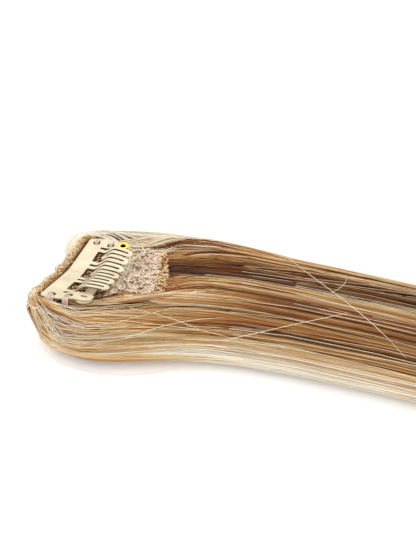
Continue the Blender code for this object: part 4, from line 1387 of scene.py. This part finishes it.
# %% Far sweep
far_sweep = []
for _ in range(FAR_SWEEP):
    layer = rng.uniform(0, 1) ** 0.9
    airy = rng.uniform(0, 1) < 0.25
    root = along_route(back_route, mix(0.985, 0.66, layer) + rng.normal(0, 0.02)) + rng.normal(0, 0.2, 3)
    depth = rng.uniform(0.0, 1.2)
    x1 = mix(7, 3, layer) + rng.uniform(0, 2)
    top = angle_at(x1, 17.4)
    angle = mix(top, -16, layer)
    p3 = on_bundle(x1, angle, depth)
    ahead = on_bundle(x1 + 3, angle, depth) - p3
    ahead *= mix(5.0, 11.0, layer) / np.linalg.norm(ahead)
    leave = mix(np.array((1.6, 0.9, 0.3)), np.array((-6.6, 3.2, 0.6)), layer ** 0.55) * (1.15 if airy else 0.9)
    start = bezier(root, root + leave, p3 - ahead + (0, 1.0 * layer, 0.4), p3, 10)
    x = FAN_X[FAN_X > x1 + 2]
    end_angle = mix(46, -14, layer)
    turning = mix(np.minimum(angle, angle_at(x, 17.8)), end_angle, smooth(x, x1, FAN_END))
    path = np.concatenate((start, p3[None], on_bundle(x, turning, depth),
                           body_run(FAN_END, end_angle, depth, rng.normal(0, 5))))
    path = round_roll(swell(beside_clip(path)))
    pale = mix(1.05 if airy else 0.94, own_tone(tone_at(end_angle)), smooth(path[:, 0], 20, 76))
    far_sweep.append((path, pale + rng.normal(0, 0.06), body_spread(path)))
print("far sweep:", len(far_sweep), "guides")

# %% Hair from the front row
top_runs = []
for share in np.sort(rng.uniform(0, 1, TOP_RUNS)):
    root = along_route(front_route, share) + rng.normal(0, 0.25, 3)
    depth = rng.uniform(0.05, 1.3)
    angle = mix(98, 42, share) + rng.normal(0, 2)
    x1 = rng.uniform(36, 44)
    p3 = on_bundle(x1, angle, depth)
    ahead = on_bundle(x1 + 6, angle, depth) - p3
    path = lead(root, (3.5, 0, 0.5), p3, ahead, 5, body_run(x1, angle, depth, rng.normal(0, 5)))
    top_runs.append((path, own_tone(tone_at(angle)), body_spread(path)))
print("front row:", len(top_runs), "guides")

# %% Strands of each family
families = (
    ("hair_near_fan_low", near_fan[NEAR_FAN // 2:], 5, 11),
    ("hair_near_fan_high", near_fan[:NEAR_FAN // 2], 5, 16),
    ("hair_from_lace", from_lace, 5, 18),
    ("hair_corner_loops", corner_loops, 4, 19),
    ("hair_under_loops", under_loops, 5, 12),
    ("hair_far_sweep_one", far_sweep[::2], 5, 13),
    ("hair_far_sweep_two", far_sweep[1::2], 5, 17),
    ("hair_top_near", top_runs[:TOP_RUNS // 2], 7, 14),
    ("hair_top_far", top_runs[TOP_RUNS // 2:], 6, 15),
)
for name, guides, count, seed in families:
    piece = strands(name, guides, hair_finish, Strands=count, Spread=0.00055, Wander=0.0007, Shortest=0.86,
                    Thickness=0.00016, Tone_spread=0.16, Seed=seed)
    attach(piece, "base")

# %% [markdown]
# ## Stray hairs
#
# A few hairs never lie with the rest. Some leave the near corner in a pale spray, some cross the locks at a low
# angle, and a few stand off the outline. They are drawn a little above the measured tube.

# %% Strays
stray_rng = np.random.default_rng(77)
strays = []
for _ in range(28):
    a = stray_rng.uniform(0.0, 0.55)
    root = along_route(back_route, stray_rng.uniform(0.1, 0.17)) + stray_rng.normal(0, 0.5, 3)
    x = FAN_X[FAN_X > 6]
    share = np.clip(a + stray_rng.normal(0, 0.12) * smooth(x, 8, 44), 0.02, 1)
    flow = beside_clip(on_bundle(x, fan_angle(x, share), -stray_rng.uniform(0.1, 0.5))) + (0.0, 0.0, 0.3)
    start = bezier(root, root + (1.5, -1.2, 0.8), flow[0] - (3, 0, -0.4), flow[0], 6)
    path = np.concatenate((start, flow))
    strays.append((path, mix(0.88, stray_rng.uniform(0.55, 0.8), smooth(path[:, 0], 6, 28)), 1.0))
for _ in range(46):
    angle = stray_rng.uniform(48, 190)
    x = BODY[BODY > stray_rng.uniform(30, 90)][:stray_rng.integers(8, 16)]
    turning = angle + stray_rng.normal(0, 16) * smooth(x, x[0], x[-1]) + 4 * np.sin(x / 24 + angle)
    strays.append((on_bundle(x, turning, -stray_rng.uniform(0.02, 0.5)), stray_rng.uniform(0.45, 1.0), 1.0))
stray_piece = strands("hair_strays", strays, hair_finish, Strands=2, Spread=0.001, Wander=0.002, Wander_scale=25.0,
                      Thickness=0.00012, Shortest=0.6, Seed=51)
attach(stray_piece, "base")

# %% Single hairs


def rounded(corners, turns=3):
    """The same line with its corners cut off a few times over."""
    line = np.array(corners, float)
    for _ in range(turns):
        quarter, three = 0.75 * line[:-1] + 0.25 * line[1:], 0.25 * line[:-1] + 0.75 * line[1:]
        line = np.concatenate((line[:1], np.stack((quarter, three), 1).reshape(-1, 3), line[-1:]))
    return line


# In turn: a long one over the top, a curl, four that cross the locks, one under the near edge, one off the far one.
singles = [(rounded(corners), tone, 0.0) for corners, tone in (
    (((58.0, 24.1, 9.9), (66.3, 12.0, 10.4), (75.4, 1.6, 9.9), (83.1, -8.6, 9.2), (88.0, -16.9, 8.4)), 0.92),
    (((71.9, 5.2, 9.6), (74.3, 7.7, 9.8), (76.1, 11.8, 9.8), (75.9, 15.6, 9.6)), 0.8),
    (((25.2, -24.0, 9.6), (32.0, -18.8, 10.2), (39.5, -14.4, 10.2), (46.4, -12.1, 10.0)), 0.8),
    (((21.9, -18.4, 10.3), (31.9, -18.4, 10.3), (41.5, -18.0, 10.0), (51.1, -19.2, 9.3)), 0.78),
    (((22.5, -13.0, 10.2), (32.0, -14.6, 10.3), (41.4, -17.7, 10.0)), 0.84),
    (((47.0, -20.0, 9.2), (55.0, -15.8, 9.6), (64.0, -10.4, 9.7), (76.0, -3.6, 9.7)), 0.85),
    (((3.0, -23.0, 2.0), (8.0, -25.6, 0.5), (17.0, -27.0, 0.3), (27.0, -26.0, 0.3), (38.0, -21.6, 0.5)), 1.0),
    (((-3.5, 25.0, 10.4), (1.2, 28.0, 11.4), (5.0, 27.8, 11.6), (10.8, 25.7, 11.2)), 0.9))]
single_piece = strands("hair_single", singles, hair_finish, Spread=0.0, Wander=0.0003, Thickness=0.00017,
                       Tone_spread=0.0, Seed=61)
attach(single_piece, "base")
